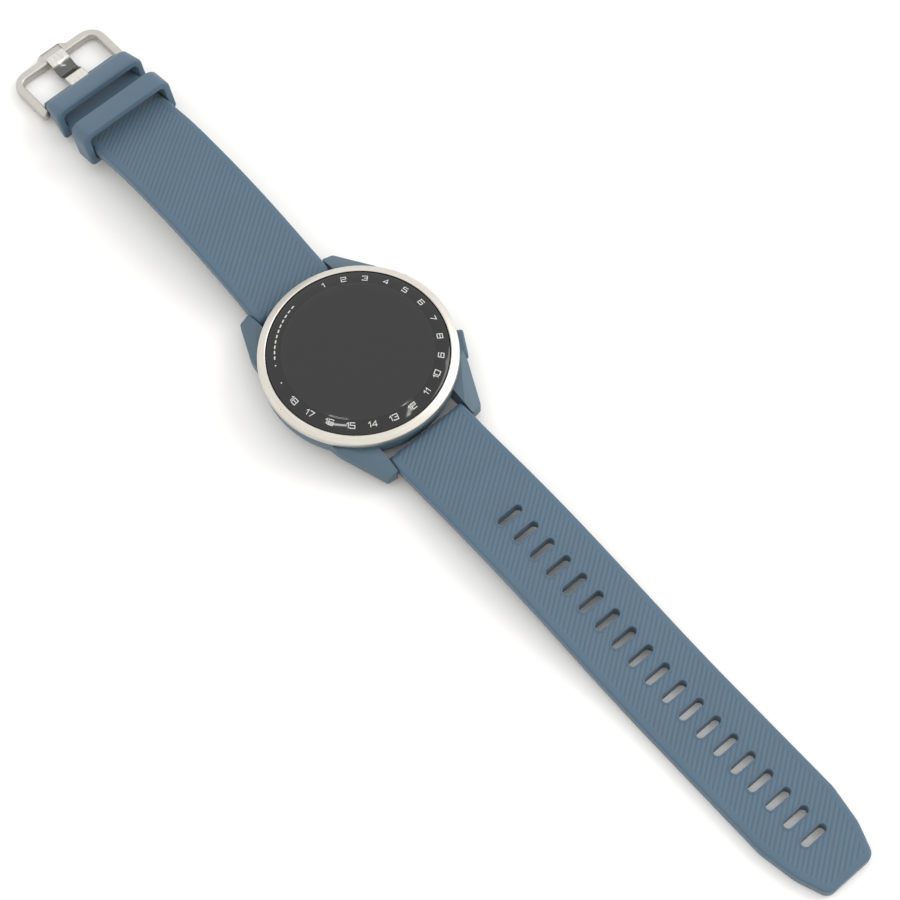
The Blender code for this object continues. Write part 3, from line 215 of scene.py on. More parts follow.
# %% [markdown]
# # Table and light
# The watch lies on a white table inside a light tent: light comes from everywhere, a little
# more from the right, and the room over the camera is dimmer. The sky is therefore a gradient, one
# big soft lamp stands on the right, and two narrow ones overhead draw streaks on the curved glass.

# %% Table top
table = Finish("white_table", {"Specular IOR Level": 0.2})
speck = table.noise(0.02, 3.0)
table.wear(table.blend(speck, (0.80, 0.795, 0.785), (0.84, 0.835, 0.825)), table.noise(0.3) * 0.1 + 0.55)
shape = bmesh.new()
bmesh.ops.create_grid(shape, x_segments=4, y_segments=4, size=2.5)
bmesh.ops.translate(shape, verts=shape.verts, vec=(0, 0, -0.02 * MM))
top = bpy.data.meshes.new("table_top")
shape.to_mesh(top)
shape.free()
top.materials.append(table.material)
table_top = bpy.data.objects.new("table_top", top)
bpy.context.scene.collection.objects.link(table_top)
print("table top is", round(table_top.dimensions.x, 2), "m wide")

# %% Lamps and sky
def softbox(name, place, aim, width, depth, power):
    data = bpy.data.lights.new(name, "AREA")
    data.shape = "RECTANGLE"
    data.size = width
    data.size_y = depth
    data.energy = power
    lamp = bpy.data.objects.new(name, data)
    bpy.context.scene.collection.objects.link(lamp)
    lamp.location = place
    lamp.rotation_euler = (Vector(aim) - Vector(place)).to_track_quat("-Z", "Y").to_euler()
    return lamp


lamps = [
    softbox("side_softbox", (0.72, -0.30, 0.60), (0, -0.02, 0), 0.50, 0.60, 3.4),
    softbox("upper_streak", (-0.106, 0.087, 0.80), (0, 0, 0), 0.030, 0.100, 0.12),
    softbox("lower_streak", (0.20, -0.085, 0.80), (0, 0, 0), 0.15, 0.024, 0.09),
]
sky = bpy.data.worlds.new("light_tent")
sky.use_nodes = True
bpy.context.scene.world = sky


def sky_node(kind, settings, sockets, output=0):
    return add_node(sky.node_tree, kind, settings, sockets).outputs[output]


heading = sky_node("ShaderNodeTexCoord", {}, {}, "Generated")
tilted = sky_node("ShaderNodeVectorMath", {"operation": "DOT_PRODUCT"},
                  {0: heading, 1: (0.42, 0.30, 0.86)}, "Value")
tent = sky_node("ShaderNodeValToRGB", {"stops": [(0.0, (0.78, 0.76, 0.73)), (0.30, (0.82, 0.81, 0.79)),
                                                 (0.62, (0.84, 0.84, 0.83)), (1.0, (0.80, 0.80, 0.80))]},
                {"Fac": tilted}, "Color")
feed(sky.node_tree, sky.node_tree.nodes["Background"].inputs["Color"], tent)
sky.node_tree.nodes["Background"].inputs["Strength"].default_value = 1.53
print(len(lamps), "lamps and a gradient sky")

# %% [markdown]
# # Blue silicone
# Watch straps are pressed from pigmented silicone: matt, a little cloudy, faintly dusty. Across the
# top runs a field of fine slanted ridges, cut in the mould, that stops short of the edges. Ridges a
# millimetre apart could be modelled, but a bump does it for a fraction of the mesh. The strap's own
# UV map tells the material how far in from the edge a point lies, and whether it is on top.

# %% Silicone, plain and ridged
RIDGE_ANGLE = math.radians(35)
RIDGE_PITCH = 1.0
BLUE = (0.062, 0.108, 0.155)


def silicone(name, ridged):
    finish = Finish(name, {"Specular IOR Level": 0.36, "Sheen Weight": 0.10, "Sheen Roughness": 0.5})
    cloud = finish.noise(0.12, 3.0)
    grain = finish.noise(9.0, 2.0)
    dust = finish.noise(2.6, 4.0, roughness=0.7).step(0.62, 0.80)
    color = finish.blend(cloud, [0.93 * value for value in BLUE], [1.08 * value for value in BLUE])
    color = finish.blend(dust * 0.14, color, (0.21, 0.26, 0.30))
    roughness = grain * 0.10 + cloud * 0.06 + 0.46
    height = grain * 0.006
    if ridged:
        face = finish.node("ShaderNodeUVMap", {"uv_map": "strap_face"}, {}, "UV")
        inset = finish.node("ShaderNodeSeparateXYZ", {}, {"Vector": face}, "X")
        field = inset.step(1.45, 1.75) * inset.output("Y").step(0.6, 0.95)
        wobble = finish.noise(0.5, 1.0) * 0.05
        across = finish.y * math.cos(RIDGE_ANGLE) - finish.x * math.sin(RIDGE_ANGLE) + wobble
        from_line = abs((across / RIDGE_PITCH).math("FRACT") - 0.5) * RIDGE_PITCH
        line = 1 - from_line.step(0.02, 0.26)
        crown = from_line.step(0.0, 0.5)
        # painted shade: the colour is darkened along each groove line
        color = finish.blend(line * field * 0.34, color, [0.50 * value for value in BLUE])
        # painted highlight: the colour is lightened on each ridge crown
        color = finish.blend(crown * field * 0.10, color, (0.13, 0.19, 0.25))
        roughness = roughness + line * field * 0.12
        height = height + (crown * field - field) * 0.040 - line * field * 0.012
    return finish.wear(color, roughness, height)


RIDGED_SILICONE = silicone("ridged_silicone", True)
PLAIN_SILICONE = silicone("plain_silicone", False)
print("ridges every", RIDGE_PITCH, "mm at", round(math.degrees(RIDGE_ANGLE)), "degrees")

# %% [markdown]
# # Moulded polymer, rubber and black plastic
# The case is moulded in a harder polymer in the same blue. Spark-eroded moulds leave an even, very
# fine dimple on it, which a small noise bump gives. Parts inside are plain black mouldings.

# %% Case polymer, plastic and rubber
def polymer(name):
    finish = Finish(name, {"Specular IOR Level": 0.45})
    dimple = finish.cells(5.5)
    cloud = finish.noise(0.15, 3.0)
    scuff = finish.noise(1.2, 5.0, roughness=0.75).step(0.66, 0.78)
    color = finish.blend(cloud, (0.052, 0.092, 0.126), (0.062, 0.108, 0.146))
    color = finish.blend(scuff * 0.18, color, (0.16, 0.21, 0.25))
    return finish.wear(color, cloud * 0.08 + dimple * 0.08 + 0.36, dimple * 0.014)


def moulding(name, dark, light, gloss, grain):
    """A plain moulded finish: a fine grain and slight clouding between two near colors."""
    finish = Finish(name, {"Specular IOR Level": 0.45})
    cloud = finish.noise(0.6, 3.0)
    fine = finish.noise(grain, 2.0)
    return finish.wear(finish.blend(cloud, dark, light), fine * 0.12 + gloss, fine * 0.008)


CASE_POLYMER = polymer("blue_case_polymer")
BLACK_PLASTIC = moulding("matt_black_plastic", (0.014, 0.014, 0.016), (0.024, 0.024, 0.026), 0.40, 8.0)
BLACK_RUBBER = moulding("soft_black_rubber", (0.010, 0.010, 0.010), (0.020, 0.019, 0.018), 0.70, 5.0)
CERAMIC = moulding("antenna_ceramic", (0.56, 0.48, 0.38), (0.64, 0.56, 0.45), 0.45, 12.0)
print("moulded finishes:", [made.name for made in (CASE_POLYMER, BLACK_PLASTIC, BLACK_RUBBER, CERAMIC)])

# %% [markdown]
# # Metals
# The bezel is turned on a lathe and brushed while it spins, so its hairlines run in circles: noise
# squeezed along the radius and drawn out along the angle. The buckle is brushed straight, and the
# pins are polished and show only stray scratches. A few nicks make the bezel look worn, each
# darkened with painted shade.

# %% Steel, brushed round, brushed straight and polished
def steel(name, color, gloss, brushing, nicks=0.0):
    finish = Finish(name, {"Metallic": 1.0})
    if brushing == "round":
        radius = (finish.x * finish.x + finish.y * finish.y) ** 0.5
        angle = finish.y.math("ARCTAN2", finish.x)
        lines = finish.noise(1.0, 3.0, finish.vector(radius * 16.0, angle * 2.5, finish.z * 16.0), 0.7)
    elif brushing == "straight":
        lines = finish.noise(1.0, 3.0, finish.vector(finish.x * 0.5, finish.y * 14.0, finish.z * 14.0), 0.7)
    else:
        lines = finish.noise(1.0, 2.0, finish.vector(finish.x * 1.5, finish.y * 9.0, finish.z * 9.0), 0.6)
    haze = finish.noise(0.35, 3.0)
    shade = finish.blend(lines.step(0.3, 0.7), [0.86 * value for value in color], [1.08 * value for value in color])
    roughness = lines * 0.16 + haze * 0.08 + gloss
    height = lines * 0.004
    if nicks:
        spot = finish.cells(0.5)
        nick = (1 - spot.step(0.02, 0.09)) * finish.noise(0.9, 1.0).step(0.54, 0.62)
        # painted shade: each nick's colour is darkened where the dent would lie in shade
        shade = finish.blend(nick * nicks, shade, (0.16, 0.14, 0.12))
        roughness = roughness + nick * 0.3
        height = height - nick * 0.03
    return finish.wear(shade, roughness, height)


BEZEL_STEEL = steel("round_brushed_steel", (0.625, 0.597, 0.550), 0.30, "round", 0.8)
BUCKLE_STEEL = steel("brushed_steel", (0.52, 0.500, 0.466), 0.36, "straight", 0.35)
BRIGHT_STEEL = steel("polished_steel", (0.60, 0.59, 0.57), 0.08, "none")
GOLD = steel("pin_gold", (0.86, 0.63, 0.27), 0.14, "none")
print("metal finishes:", [made.name for made in (BEZEL_STEEL, BUCKLE_STEEL, BRIGHT_STEEL, GOLD)])

# %% The tongue's own steel
def tongue_steel():
    """Brushed along the strip, and smooth in the pressed dip, where no brush reaches; the dip's dark colour is a
    painted dark reflection.
    """
    finish = Finish("tongue_steel", {"Metallic": 1.0})
    lines = finish.noise(1.0, 3.0, finish.vector(finish.x * 11.0, finish.y * 0.6, finish.z * 0.6), 0.7)
    # painted dark reflection: the pressed dip's colour is darkened to stand in for the dark surroundings it reflects
    painted_dark_dip = finish.y.step(100.6, 101.4) * (1 - finish.y.step(105.2, 106.0))
    bright = finish.blend(lines.step(0.3, 0.7), (0.52, 0.50, 0.46), (0.70, 0.68, 0.64))
    return finish.wear(finish.blend(painted_dark_dip * 0.92, bright, (0.075, 0.08, 0.08)), (1 - painted_dark_dip) * lines * 0.22 + 0.10,
                       (1 - painted_dark_dip) * lines * 0.005)


TONGUE_STEEL = tongue_steel()
print("tongue finish:", TONGUE_STEEL.name)

# %% [markdown]
# # Glass and print
# The dome is clear glass printed black on its underside round the display, so from outside it reads
# as one glossy black lens with a display disc a shade lighter. A single dark, very smooth surface
# gives that, with faint wipe marks in its roughness. The numerals are white ink.

# %% Glass, ink and display
def lens():
    finish = Finish("domed_glass", {"Specular IOR Level": 0.5, "IOR": 1.5})
    radius = (finish.x * finish.x + finish.y * finish.y) ** 0.5
    wipe = finish.noise(1.0, 3.0, finish.vector(finish.x * 0.25 + finish.y * 0.1, finish.y * 0.07, 0.0), 0.6)
    rim = radius.step(16.0, 16.25)
    color = finish.blend(rim, (0.0085, 0.0085, 0.0088), (0.0035, 0.0034, 0.0036))
    edge = radius.bell(16.15, 0.22)
    color = finish.blend(edge * 0.35, color, (0.022, 0.022, 0.023))
    smudge = finish.noise(0.22, 4.0).step(0.5, 0.75)
    lip = radius.step(16.0, 16.5) * -0.035
    return finish.wear(color, wipe * 0.03 + smudge * 0.05 + 0.045, finish.noise(0.05, 1.0) * 0.01 + lip)


def printed(name, color):
    finish = Finish(name, {"Specular IOR Level": 0.4})
    grain = finish.noise(6.0, 2.0)
    return finish.wear(finish.blend(grain, [0.9 * value for value in color], color), grain * 0.2 + 0.3, grain * 0.003)


def display():
    """A reflective display: a fine grid of picture cells under a dark film."""
    finish = Finish("display_film", {"Specular IOR Level": 0.5})
    grid = (finish.x * 8.0).math("FRACT").bell(0.5, 0.5) * (finish.y * 8.0).math("FRACT").bell(0.5, 0.5)
    return finish.wear(finish.blend(grid, (0.020, 0.021, 0.022), (0.045, 0.047, 0.046)), grid * 0.1 + 0.12)


DOMED_GLASS = lens()
WHITE_INK = printed("white_ink", (0.52, 0.52, 0.51))
DISPLAY = display()
print("glass and print:", [made.name for made in (DOMED_GLASS, WHITE_INK, DISPLAY)])

# %% [markdown]
# # Inside the case
# The board has copper tracks under green lacquer, the battery is wrapped in creased foil and the
# display ribbon is amber film with copper lines. None shows while the watch is closed, but the
# pieces are there to be taken apart, so each gets its own pattern.

# %% Board, foil and film
def board():
    finish = Finish("green_circuit_board", {"Specular IOR Level": 0.5})
    tracks = finish.cells(0.8, output="Color")
    lane = (finish.x * 0.9 + tracks * 1.6).math("FRACT").bell(0.5, 0.12)
    lane = lane + (finish.y * 0.9).math("FRACT").bell(0.5, 0.12)
    lane = lane.math("MINIMUM", 1.0)
    pads = 1 - finish.cells(0.9).step(0.16, 0.20)
    color = finish.blend(lane * 0.7, (0.010, 0.085, 0.040), (0.025, 0.165, 0.075))
    color = finish.blend(pads, color, (0.75, 0.60, 0.30))
    return finish.wear(color, pads * 0.1 + 0.28, lane * 0.02 + pads * 0.03, metallic=pads)


def foil():
    finish = Finish("creased_foil", {})
    crease = finish.noise(0.45, 5.0, roughness=0.7)
    return finish.wear(finish.blend(crease, (0.52, 0.53, 0.54), (0.72, 0.73, 0.73)), crease * 0.25 + 0.22,
                       crease * 0.12, metallic=crease * 0.2 + 0.75)


def film():
    finish = Finish("amber_film", {"Specular IOR Level": 0.5})
    line = (finish.y * 2.5).math("FRACT").bell(0.5, 0.3)
    return finish.wear(finish.blend(line, (0.50, 0.23, 0.04), (0.68, 0.40, 0.12)), line * 0.1 + 0.3, line * 0.01)


CIRCUIT_BOARD = board()
BATTERY_FOIL = foil()
POLYIMIDE = film()
print("inner finishes:", [made.name for made in (CIRCUIT_BOARD, BATTERY_FOIL, POLYIMIDE)])

# %% [markdown]
# # Outlines and solids
# Almost everything on a watch is either turned or cut from plate and then has its edges broken, so
# two makers cover most of it: one spins a section about an axis, the other gives a flat outline
# thickness and rolls its rims over. Both are plain bmesh code, which keeps every vertex in hand.

# %% Outlines with rounded corners
def arc(center, radius, start, end, steps):
    angles = [math.radians(start + (end - start) * i / steps) for i in range(steps + 1)]
    return [(center[0] + radius * math.cos(a), center[1] + radius * math.sin(a)) for a in angles]


def rounded(corners, steps=8):
    """A closed outline from (x, y, radius) corners, in millimetres."""
    outline = []
    for i, (x, y, radius) in enumerate(corners):
        here = Vector((x, y))
        before = (Vector(corners[i - 1][:2]) - here).normalized()
        after = (Vector(corners[(i + 1) % len(corners)][:2]) - here).normalized()
        if radius == 0:
            outline.append((x, y))
            continue
        half = before.angle(after) / 2
        center = here + (before + after).normalized() * (radius / math.sin(half))
        first = here + before * (radius / math.tan(half)) - center
        last = here + after * (radius / math.tan(half)) - center
        turn = first.angle_signed(last)
        for step in range(steps + 1):
            point = Matrix.Rotation(-turn * step / steps, 2) @ first + center
            outline.append((point.x, point.y))
    return outline


def pill(length, width, center=(0, 0)):
    """A slot outline: two straight sides and two half rounds."""
    straight = (length - width) / 2
    return (arc((center[0] + straight, center[1]), width / 2, -90, 90, 12)
            + arc((center[0] - straight, center[1]), width / 2, 90, 270, 12))


def inset(outline, distance):
    """The outline moved inwards, square to each of its sides."""
    points = [Vector(point) for point in outline]
    area = sum(a.x * b.y - b.x * a.y for a, b in zip(points, points[1:] + points[:1]))
    inwards = 1 if area > 0 else -1
    moved = []
    for i, point in enumerate(points):
        before = (point - points[i - 1]).normalized()
        after = (points[(i + 1) % len(points)] - point).normalized()
        normal = Vector((-before.y - after.y, before.x + after.x)).normalized() * inwards
        moved.append(point + normal * (distance / max(0.3, normal.dot(Vector((-before.y, before.x))) * inwards)))
    return moved


print("a 6.2 by 1.9 mm slot outline has", len(pill(6.2, 1.9)), "points")

# %% Turned and plate solids
IN_PLACE = Matrix.Identity(4)
SIDE_VIEW = Euler((math.pi / 2, 0, math.pi / 2)).to_matrix().to_4x4()
ALONG_X = Euler((0, math.pi / 2, 0)).to_matrix().to_4x4()
ROUND = 192


def skin(shape, rings, closed_rings=True):
    """Faces between each ring of vertices and the next. A ring of one vertex is a pole."""
    for low, high in zip(rings, rings[1:]):
        count = max(len(low), len(high))
        for i in range(count if closed_rings else count - 1):
            j = (i + 1) % count
            corners = [low[i % len(low)], low[j % len(low)], high[j % len(high)], high[i % len(high)]]
            shape.faces.new(list(dict.fromkeys(corners)))


def turned(section, steps=ROUND, matrix=IN_PLACE):
    """A section of (radius, height) corners spun about its own z."""
    shape = bmesh.new()
    rings = []
    for radius, height in section:
        if radius < 1e-6:
            rings.append([shape.verts.new(matrix @ Vector((0, 0, height)))])
            continue
        angles = [2 * math.pi * i / steps for i in range(steps)]
        rings.append([shape.verts.new(matrix @ Vector((radius * math.cos(a), radius * math.sin(a), height)))
                      for a in angles])
    if len(rings[0]) > 1:
        rings.append(rings[0])
    skin(shape, rings)
    return shape


def plate(outline, low, high, edge=0.0, matrix=IN_PLACE, steps=5):
    """A flat outline given thickness, with both rims rolled over by the edge radius."""
    shape = bmesh.new()
    turns = [math.pi / 2 * i / steps for i in range(steps + 1)] if edge else [math.pi / 2]
    roll = [(edge * (1 - math.sin(a)), edge * (1 - math.cos(a))) for a in turns]
    levels = [(back, low + drop) for back, drop in roll] + [(back, high - drop) for back, drop in reversed(roll)]
    rings = [[shape.verts.new(matrix @ Vector((point.x, point.y, height))) for point in inset(outline, back)]
             for back, height in levels]
    skin(shape, rings)
    shape.faces.new(rings[0])
    shape.faces.new(rings[-1])
    return shape


def block(low, high, matrix=IN_PLACE):
    corners = [(low[0], low[1]), (high[0], low[1]), (high[0], high[1]), (low[0], high[1])]
    return plate(corners, low[2], high[2], matrix=matrix)


def rod(radius, low, high, matrix=IN_PLACE, steps=48):
    return turned([(0, high), (radius, high), (radius, low), (0, low)], steps, matrix)


print("a turned rod has", len(rod(1, 0, 1).faces), "faces")

# %% [markdown]
# # From shapes to pieces
# Shapes are drawn in millimetres and become objects in metres only once. Holes and joins are exact
# Booleans, applied straight away so that the finished piece is a plain closed mesh. Its edges are
# then marked sharp by angle, it rides on its body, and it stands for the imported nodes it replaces.

# %% Joining, cutting and finishing a piece
WELD = 0.0005


def clean(shape):
    bmesh.ops.remove_doubles(shape, verts=shape.verts, dist=WELD)
    bmesh.ops.dissolve_degenerate(shape, edges=shape.edges, dist=WELD / 2)
    bmesh.ops.recalc_face_normals(shape, faces=shape.faces)
    return shape


def rough_object(shape):
    mesh = bpy.data.meshes.new("rough")
    clean(shape).to_mesh(mesh)
    shape.free()
    rough = bpy.data.objects.new("rough", mesh)
    bpy.context.scene.collection.objects.link(rough)
    return rough


def together(*shapes):
    """Several separate shapes in one."""
    whole = bmesh.new()
    for shape in shapes:
        mesh = bpy.data.meshes.new("share")
        clean(shape).to_mesh(mesh)
        shape.free()
        whole.from_mesh(mesh)
        bpy.data.meshes.remove(mesh)
    return whole


def boolean(shape, *steps):
    """Applies (operation, other shape) steps one after another."""
    body = rough_object(shape)
    for operation, other in steps:
        tool = rough_object(other)
        modifier = body.modifiers.new("Boolean", "BOOLEAN")
        modifier.operation = operation
        modifier.object = tool
        modifier.solver = "EXACT"
        graph = bpy.context.evaluated_depsgraph_get()
        mesh = bpy.data.meshes.new_from_object(body.evaluated_get(graph), depsgraph=graph)
        body.modifiers.clear()
        body.data = mesh
        bpy.data.objects.remove(tool, do_unlink=True)
    result = bmesh.new()
    result.from_mesh(body.data)
    bpy.data.objects.remove(body, do_unlink=True)
    return result


made_pieces = []


def piece(name, shape, finish, body, replaced=(), sharp=32):
    """A finished piece from a shape in millimetres."""
    clean(shape)
    bmesh.ops.scale(shape, vec=(MM, MM, MM), verts=shape.verts)
    for face in shape.faces:
        face.smooth = True
    for edge in shape.edges:
        edge.smooth = len(edge.link_faces) == 2 and edge.calc_face_angle(0.0) < math.radians(sharp)
    mesh = bpy.data.meshes.new(name)
    shape.to_mesh(mesh)
    shape.free()
    mesh.materials.clear()
    mesh.materials.append(finish)
    obj = bpy.data.objects.new(name, mesh)
    bpy.context.scene.collection.objects.link(obj)
    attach(obj, body)
    if replaced:
        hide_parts(*replaced)
    mesh.calc_loop_triangles()
    made_pieces.append(obj)
    print(f"{name}: {len(mesh.loop_triangles)} triangles on {body}")
    return obj

# %% [markdown]
# # Middle case
# The case is one moulding: a bowed ring with a floor for the back cover, an upper ledge for the
# glass, and four lugs. The ring is spun. A lug is the crossing of its plan and its side view, with
# two slanting cuts that give the bright inner facet and the darker outer one, and softened edges.

# %% Lugs
LUG_PLAN = [(10.25, 14.41, 0.0), (17.605, 9.41, 0.0), (17.605, 14.41, 6.0), (12.95, 24.5, 0.8), (10.25, 24.9, 0.4)]
LUG_SIDE = [(9.41, 1.7, 0.0), (21.7, 1.7, 2.0), (25.2, 2.1, 0.9), (25.2, 5.75, 0.9), (19.9, 6.8, 6.0),
            (14.41, 7.8, 2.0), (9.41, 7.8, 0.0)]


def facet_cutter(start, end, fall):
    """A block that planes a facet through the line from start to end, this steep in radians: a
    small fall slopes down outwards, and one past a right angle undercuts the side."""
    along = (end - start).normalized()
    outwards = Vector((along.y, -along.x, 0)).normalized()
    if outwards.x < 0:
        outwards = -outwards
    downhill = (outwards * math.cos(fall) - Vector((0, 0, math.sin(fall)))).normalized()
    normal = along.cross(downhill).normalized()
    if normal.dot(outwards + Vector((0, 0, 0.3))) < 0:
        normal = -normal
    turn = Matrix((along, normal.cross(along), normal)).transposed().to_4x4()
    return block((-25, -12, 0), (25, 12, 12), Matrix.Translation((start + end) / 2) @ turn)


def bevelled(shape, width, angle):
    """Breaks every edge sharper than this angle, in degrees."""
    clean(shape)
    bmesh.ops.dissolve_limit(shape, angle_limit=math.radians(1.0), verts=shape.verts, edges=shape.edges)
    edges = [edge for edge in shape.edges if len(edge.link_faces) == 2
             and edge.calc_face_angle(0.0) > math.radians(angle)]
    bmesh.ops.bevel(shape, geom=edges, offset=width, segments=3, affect="EDGES", profile=0.5,
                    clamp_overlap=True, miter_outer="ARC")
    return shape


def lug():
    crossed = boolean(plate(rounded(LUG_PLAN, 5), 0, 8.3),
                      ("INTERSECT", plate(rounded(LUG_SIDE, 5), -40, 40, matrix=SIDE_VIEW)),
                      ("DIFFERENCE", facet_cutter(Vector((17.9, 12.9, 7.85)), Vector((11.2, 20.7, 6.72)),
                                                  math.radians(27))),
                      ("DIFFERENCE", facet_cutter(Vector((18.9, 11.9, 6.6)), Vector((13.1, 24.6, 2.3)),
                                                  math.radians(120))))
    return bevelled(crossed, 0.28, 18)


def four_lugs():
    copies = []
    for x, y in ((1, 1), (-1, 1), (-1, -1), (1, -1)):
        shape = lug()
        bmesh.ops.transform(shape, matrix=Matrix.Diagonal((x, y, 1, 1)), verts=shape.verts)
        copies.append(shape)
    return together(*copies)


# %% Case ring, pockets and bosses
SCREW_ANGLES = [math.radians(45 + 90 * i) for i in range(4)]
SCREW_CIRCLE = 16.4
LUG_BAR_OUT = 22.8
BAR_REACH = 11.45
LUG_BAR_HEIGHT = 4.25


def case_section():
    bowed = [(18.7 + 2.65 * y, 8.0 - 6.4 * x) for x, y in arc((0, 0), 1.0, 90, 0, 28)]
    top_edge = arc((21.05, 8.0), 0.3, 90, 12, 5)
    return top_edge + bowed + [
        (14.98, 1.6), (14.98, 3.0), (18.6, 3.0), (18.6, 7.4), (17.3, 7.4), (17.3, 8.3)]


def at_screws(maker):
    return together(*[maker(Matrix.Translation((SCREW_CIRCLE * math.cos(a), SCREW_CIRCLE * math.sin(a), 0)))
                      for a in SCREW_ANGLES])


def button_frame(side):
    return Matrix.Translation((0, 0, 5.2)) @ Euler((0, math.pi / 2, side * math.radians(30))).to_matrix().to_4x4()


def button_outline(room):
    return [(y, x) for x, y in pill(7.0 + 2 * room, 2.6 + 2 * room)]


def middle_case():
    clearer = turned([(0, 9.5), (17.3, 9.5), (17.3, 7.4), (18.6, 7.4), (18.6, 3.0), (14.98, 3.0), (14.98, 0), (0, 0)])
    reliefs = together(*[block((-10.25, side * 20.45 if side > 0 else -45, 0), (10.25, 45 if side > 0 else -20.45, 7.3))
                         for side in (1, -1)])
    tips = together(*[rod(0.5, -BAR_REACH, BAR_REACH,
                          Matrix.Translation((0, side * LUG_BAR_OUT, LUG_BAR_HEIGHT)) @ ALONG_X)
                      for side in (1, -1)])
    pockets = together(*[plate(button_outline(0.3), 20.3, 25.0, matrix=button_frame(side)) for side in (1, -1)])
    bores = together(*[rod(1.05, 17.6, 21.3, button_frame(side)) for side in (1, -1)])
    return boolean(turned(case_section()),
                   ("UNION", four_lugs()),
                   ("DIFFERENCE", clearer),
                   ("DIFFERENCE", reliefs),
                   ("UNION", at_screws(lambda place: rod(1.5, 1.9, 4.6, place))),
                   ("DIFFERENCE", at_screws(lambda place: rod(0.68, 0, 4.45, place))),
                   ("DIFFERENCE", tips),
                   ("DIFFERENCE", pockets),
                   ("DIFFERENCE", bores))


piece("case_middle", middle_case(), CASE_POLYMER, "case", ["middle_case"])

# %% [markdown]
# # Back cover and its screws
# The flat back lifts off with four screws. Its edge is chamfered, it carries the charging port, and
# a spigot with a gasket groove reaches up into the case. Four screws on one circle are a repeat, so
# one screw is modelled and a Geometry Nodes tree sets copies of it round the circle.

# %% Back cover
def back_cover():
    section = rounded([(0, 2.9, 0), (14.8, 2.9, 0.1), (14.8, 2.5, 0), (14.2, 2.5, 0), (14.2, 1.9, 0), (14.8, 1.9, 0),
                       (14.8, 1.5, 0), (18.2, 1.5, 0.12), (18.2, 0.9, 0.2), (16.6, 0, 0.5), (0, 0, 0)], 4)
    heads = at_screws(lambda place: rod(1.18, -1, 1.0, place))
    shanks = at_screws(lambda place: rod(0.68, 0.5, 2.5, place))
    return boolean(turned(section),
                   ("DIFFERENCE", plate(pill(10.2, 5.0, (0, -9.0)), -1, 4)),
                   ("DIFFERENCE", heads),
                   ("DIFFERENCE", shanks))


piece("back_cover", back_cover(), CASE_POLYMER, "case", ["rear_cover"])

# %% Geometry Nodes helpers
class Growth:
    """A Geometry Nodes tree with named inputs, whose result becomes a plain mesh."""

    def __init__(self, name):
        self.tree = bpy.data.node_groups.new(name, "GeometryNodeTree")
        self.tree.interface.new_socket(name="Geometry", in_out="OUTPUT", socket_type="NodeSocketGeometry")
        self.inputs = self.tree.nodes.new("NodeGroupInput")
        self.end = self.tree.nodes.new("NodeGroupOutput")
        self.values = {}

    def ask(self, name, kind, value):
        """A named input with its value."""
        socket = self.tree.interface.new_socket(name=name, in_out="INPUT", socket_type="NodeSocket" + kind)
        self.values[socket.identifier] = value
        return self.inputs.outputs[name]

    def node(self, kind, settings, sockets, output=0):
        return add_node(self.tree, kind, settings, sockets).outputs[output]

    def math(self, operation, first, second):
        return self.node("ShaderNodeMath", {"operation": operation}, {0: first, 1: second})

    def vector(self, x=0.0, y=0.0, z=0.0):
        return self.node("ShaderNodeCombineXYZ", {}, {"X": x, "Y": y, "Z": z})

    def shape(self, instances, finish):
        """Evaluates the tree and returns a shape in millimetres."""
        material = self.ask("Finish", "Material", finish)
        real = self.node("GeometryNodeRealizeInstances", {}, {"Geometry": instances})
        dressed = self.node("GeometryNodeSetMaterial", {}, {"Geometry": real, "Material": material})
        self.tree.links.new(dressed, self.end.inputs[0])
        holder = bpy.data.objects.new("holder", bpy.data.meshes.new("holder"))
        bpy.context.scene.collection.objects.link(holder)
        modifier = holder.modifiers.new("Growth", "NODES")
        modifier.node_group = self.tree
        for identifier, value in self.values.items():
            modifier[identifier] = value
        graph = bpy.context.evaluated_depsgraph_get()
        mesh = bpy.data.meshes.new_from_object(holder.evaluated_get(graph), depsgraph=graph)
        bpy.data.objects.remove(holder, do_unlink=True)
        result = bmesh.new()
        result.from_mesh(mesh)
        bpy.data.meshes.remove(mesh)
        return result


# %% Back screws
def one_screw():
    section = rounded([(0, 4.2, 0), (0.6, 4.2, 0.15), (0.6, 0.9, 0), (1.1, 0.9, 0.06), (1.1, 0.2, 0.14), (0, 0.2, 0)],
                      4)
    return rough_object(boolean(turned(section, 48), ("DIFFERENCE", block((-2, -0.175, -0.5), (2, 0.175, 0.55)))))


screw = one_screw()
ring_of = Growth("screws_on_a_circle")
count = ring_of.ask("Count", "Int", 4)
radius = ring_of.ask("Circle Radius", "Float", SCREW_CIRCLE)
first = ring_of.ask("First Angle", "Float", math.radians(45))
model = ring_of.ask("Screw", "Object", screw)
circle = ring_of.node("GeometryNodeMeshCircle", {}, {"Vertices": count, "Radius": radius})
circle = ring_of.node("GeometryNodeTransform", {}, {"Geometry": circle, "Rotation": ring_of.vector(z=first)})
copies = ring_of.node("GeometryNodeInstanceOnPoints", {}, {
    "Points": circle, "Instance": ring_of.node("GeometryNodeObjectInfo", {}, {"Object": model}, "Geometry")})
piece("back_screws", ring_of.shape(copies, BUCKLE_STEEL), BUCKLE_STEEL, "case",
      ["rear_screw_1", "rear_screw_2", "rear_screw_3", "rear_screw_4"])
bpy.data.objects.remove(screw, do_unlink=True)

# %% [markdown]
# # Bezel and glass
# The bezel is a metal ring with a sloping face and a narrow polished chamfer round the glass. The
# glass is a lens whose middle is nearly flat and whose rim falls away. Both are spun in many small
# steps, because a highlight shows every facet of a coarse ring.

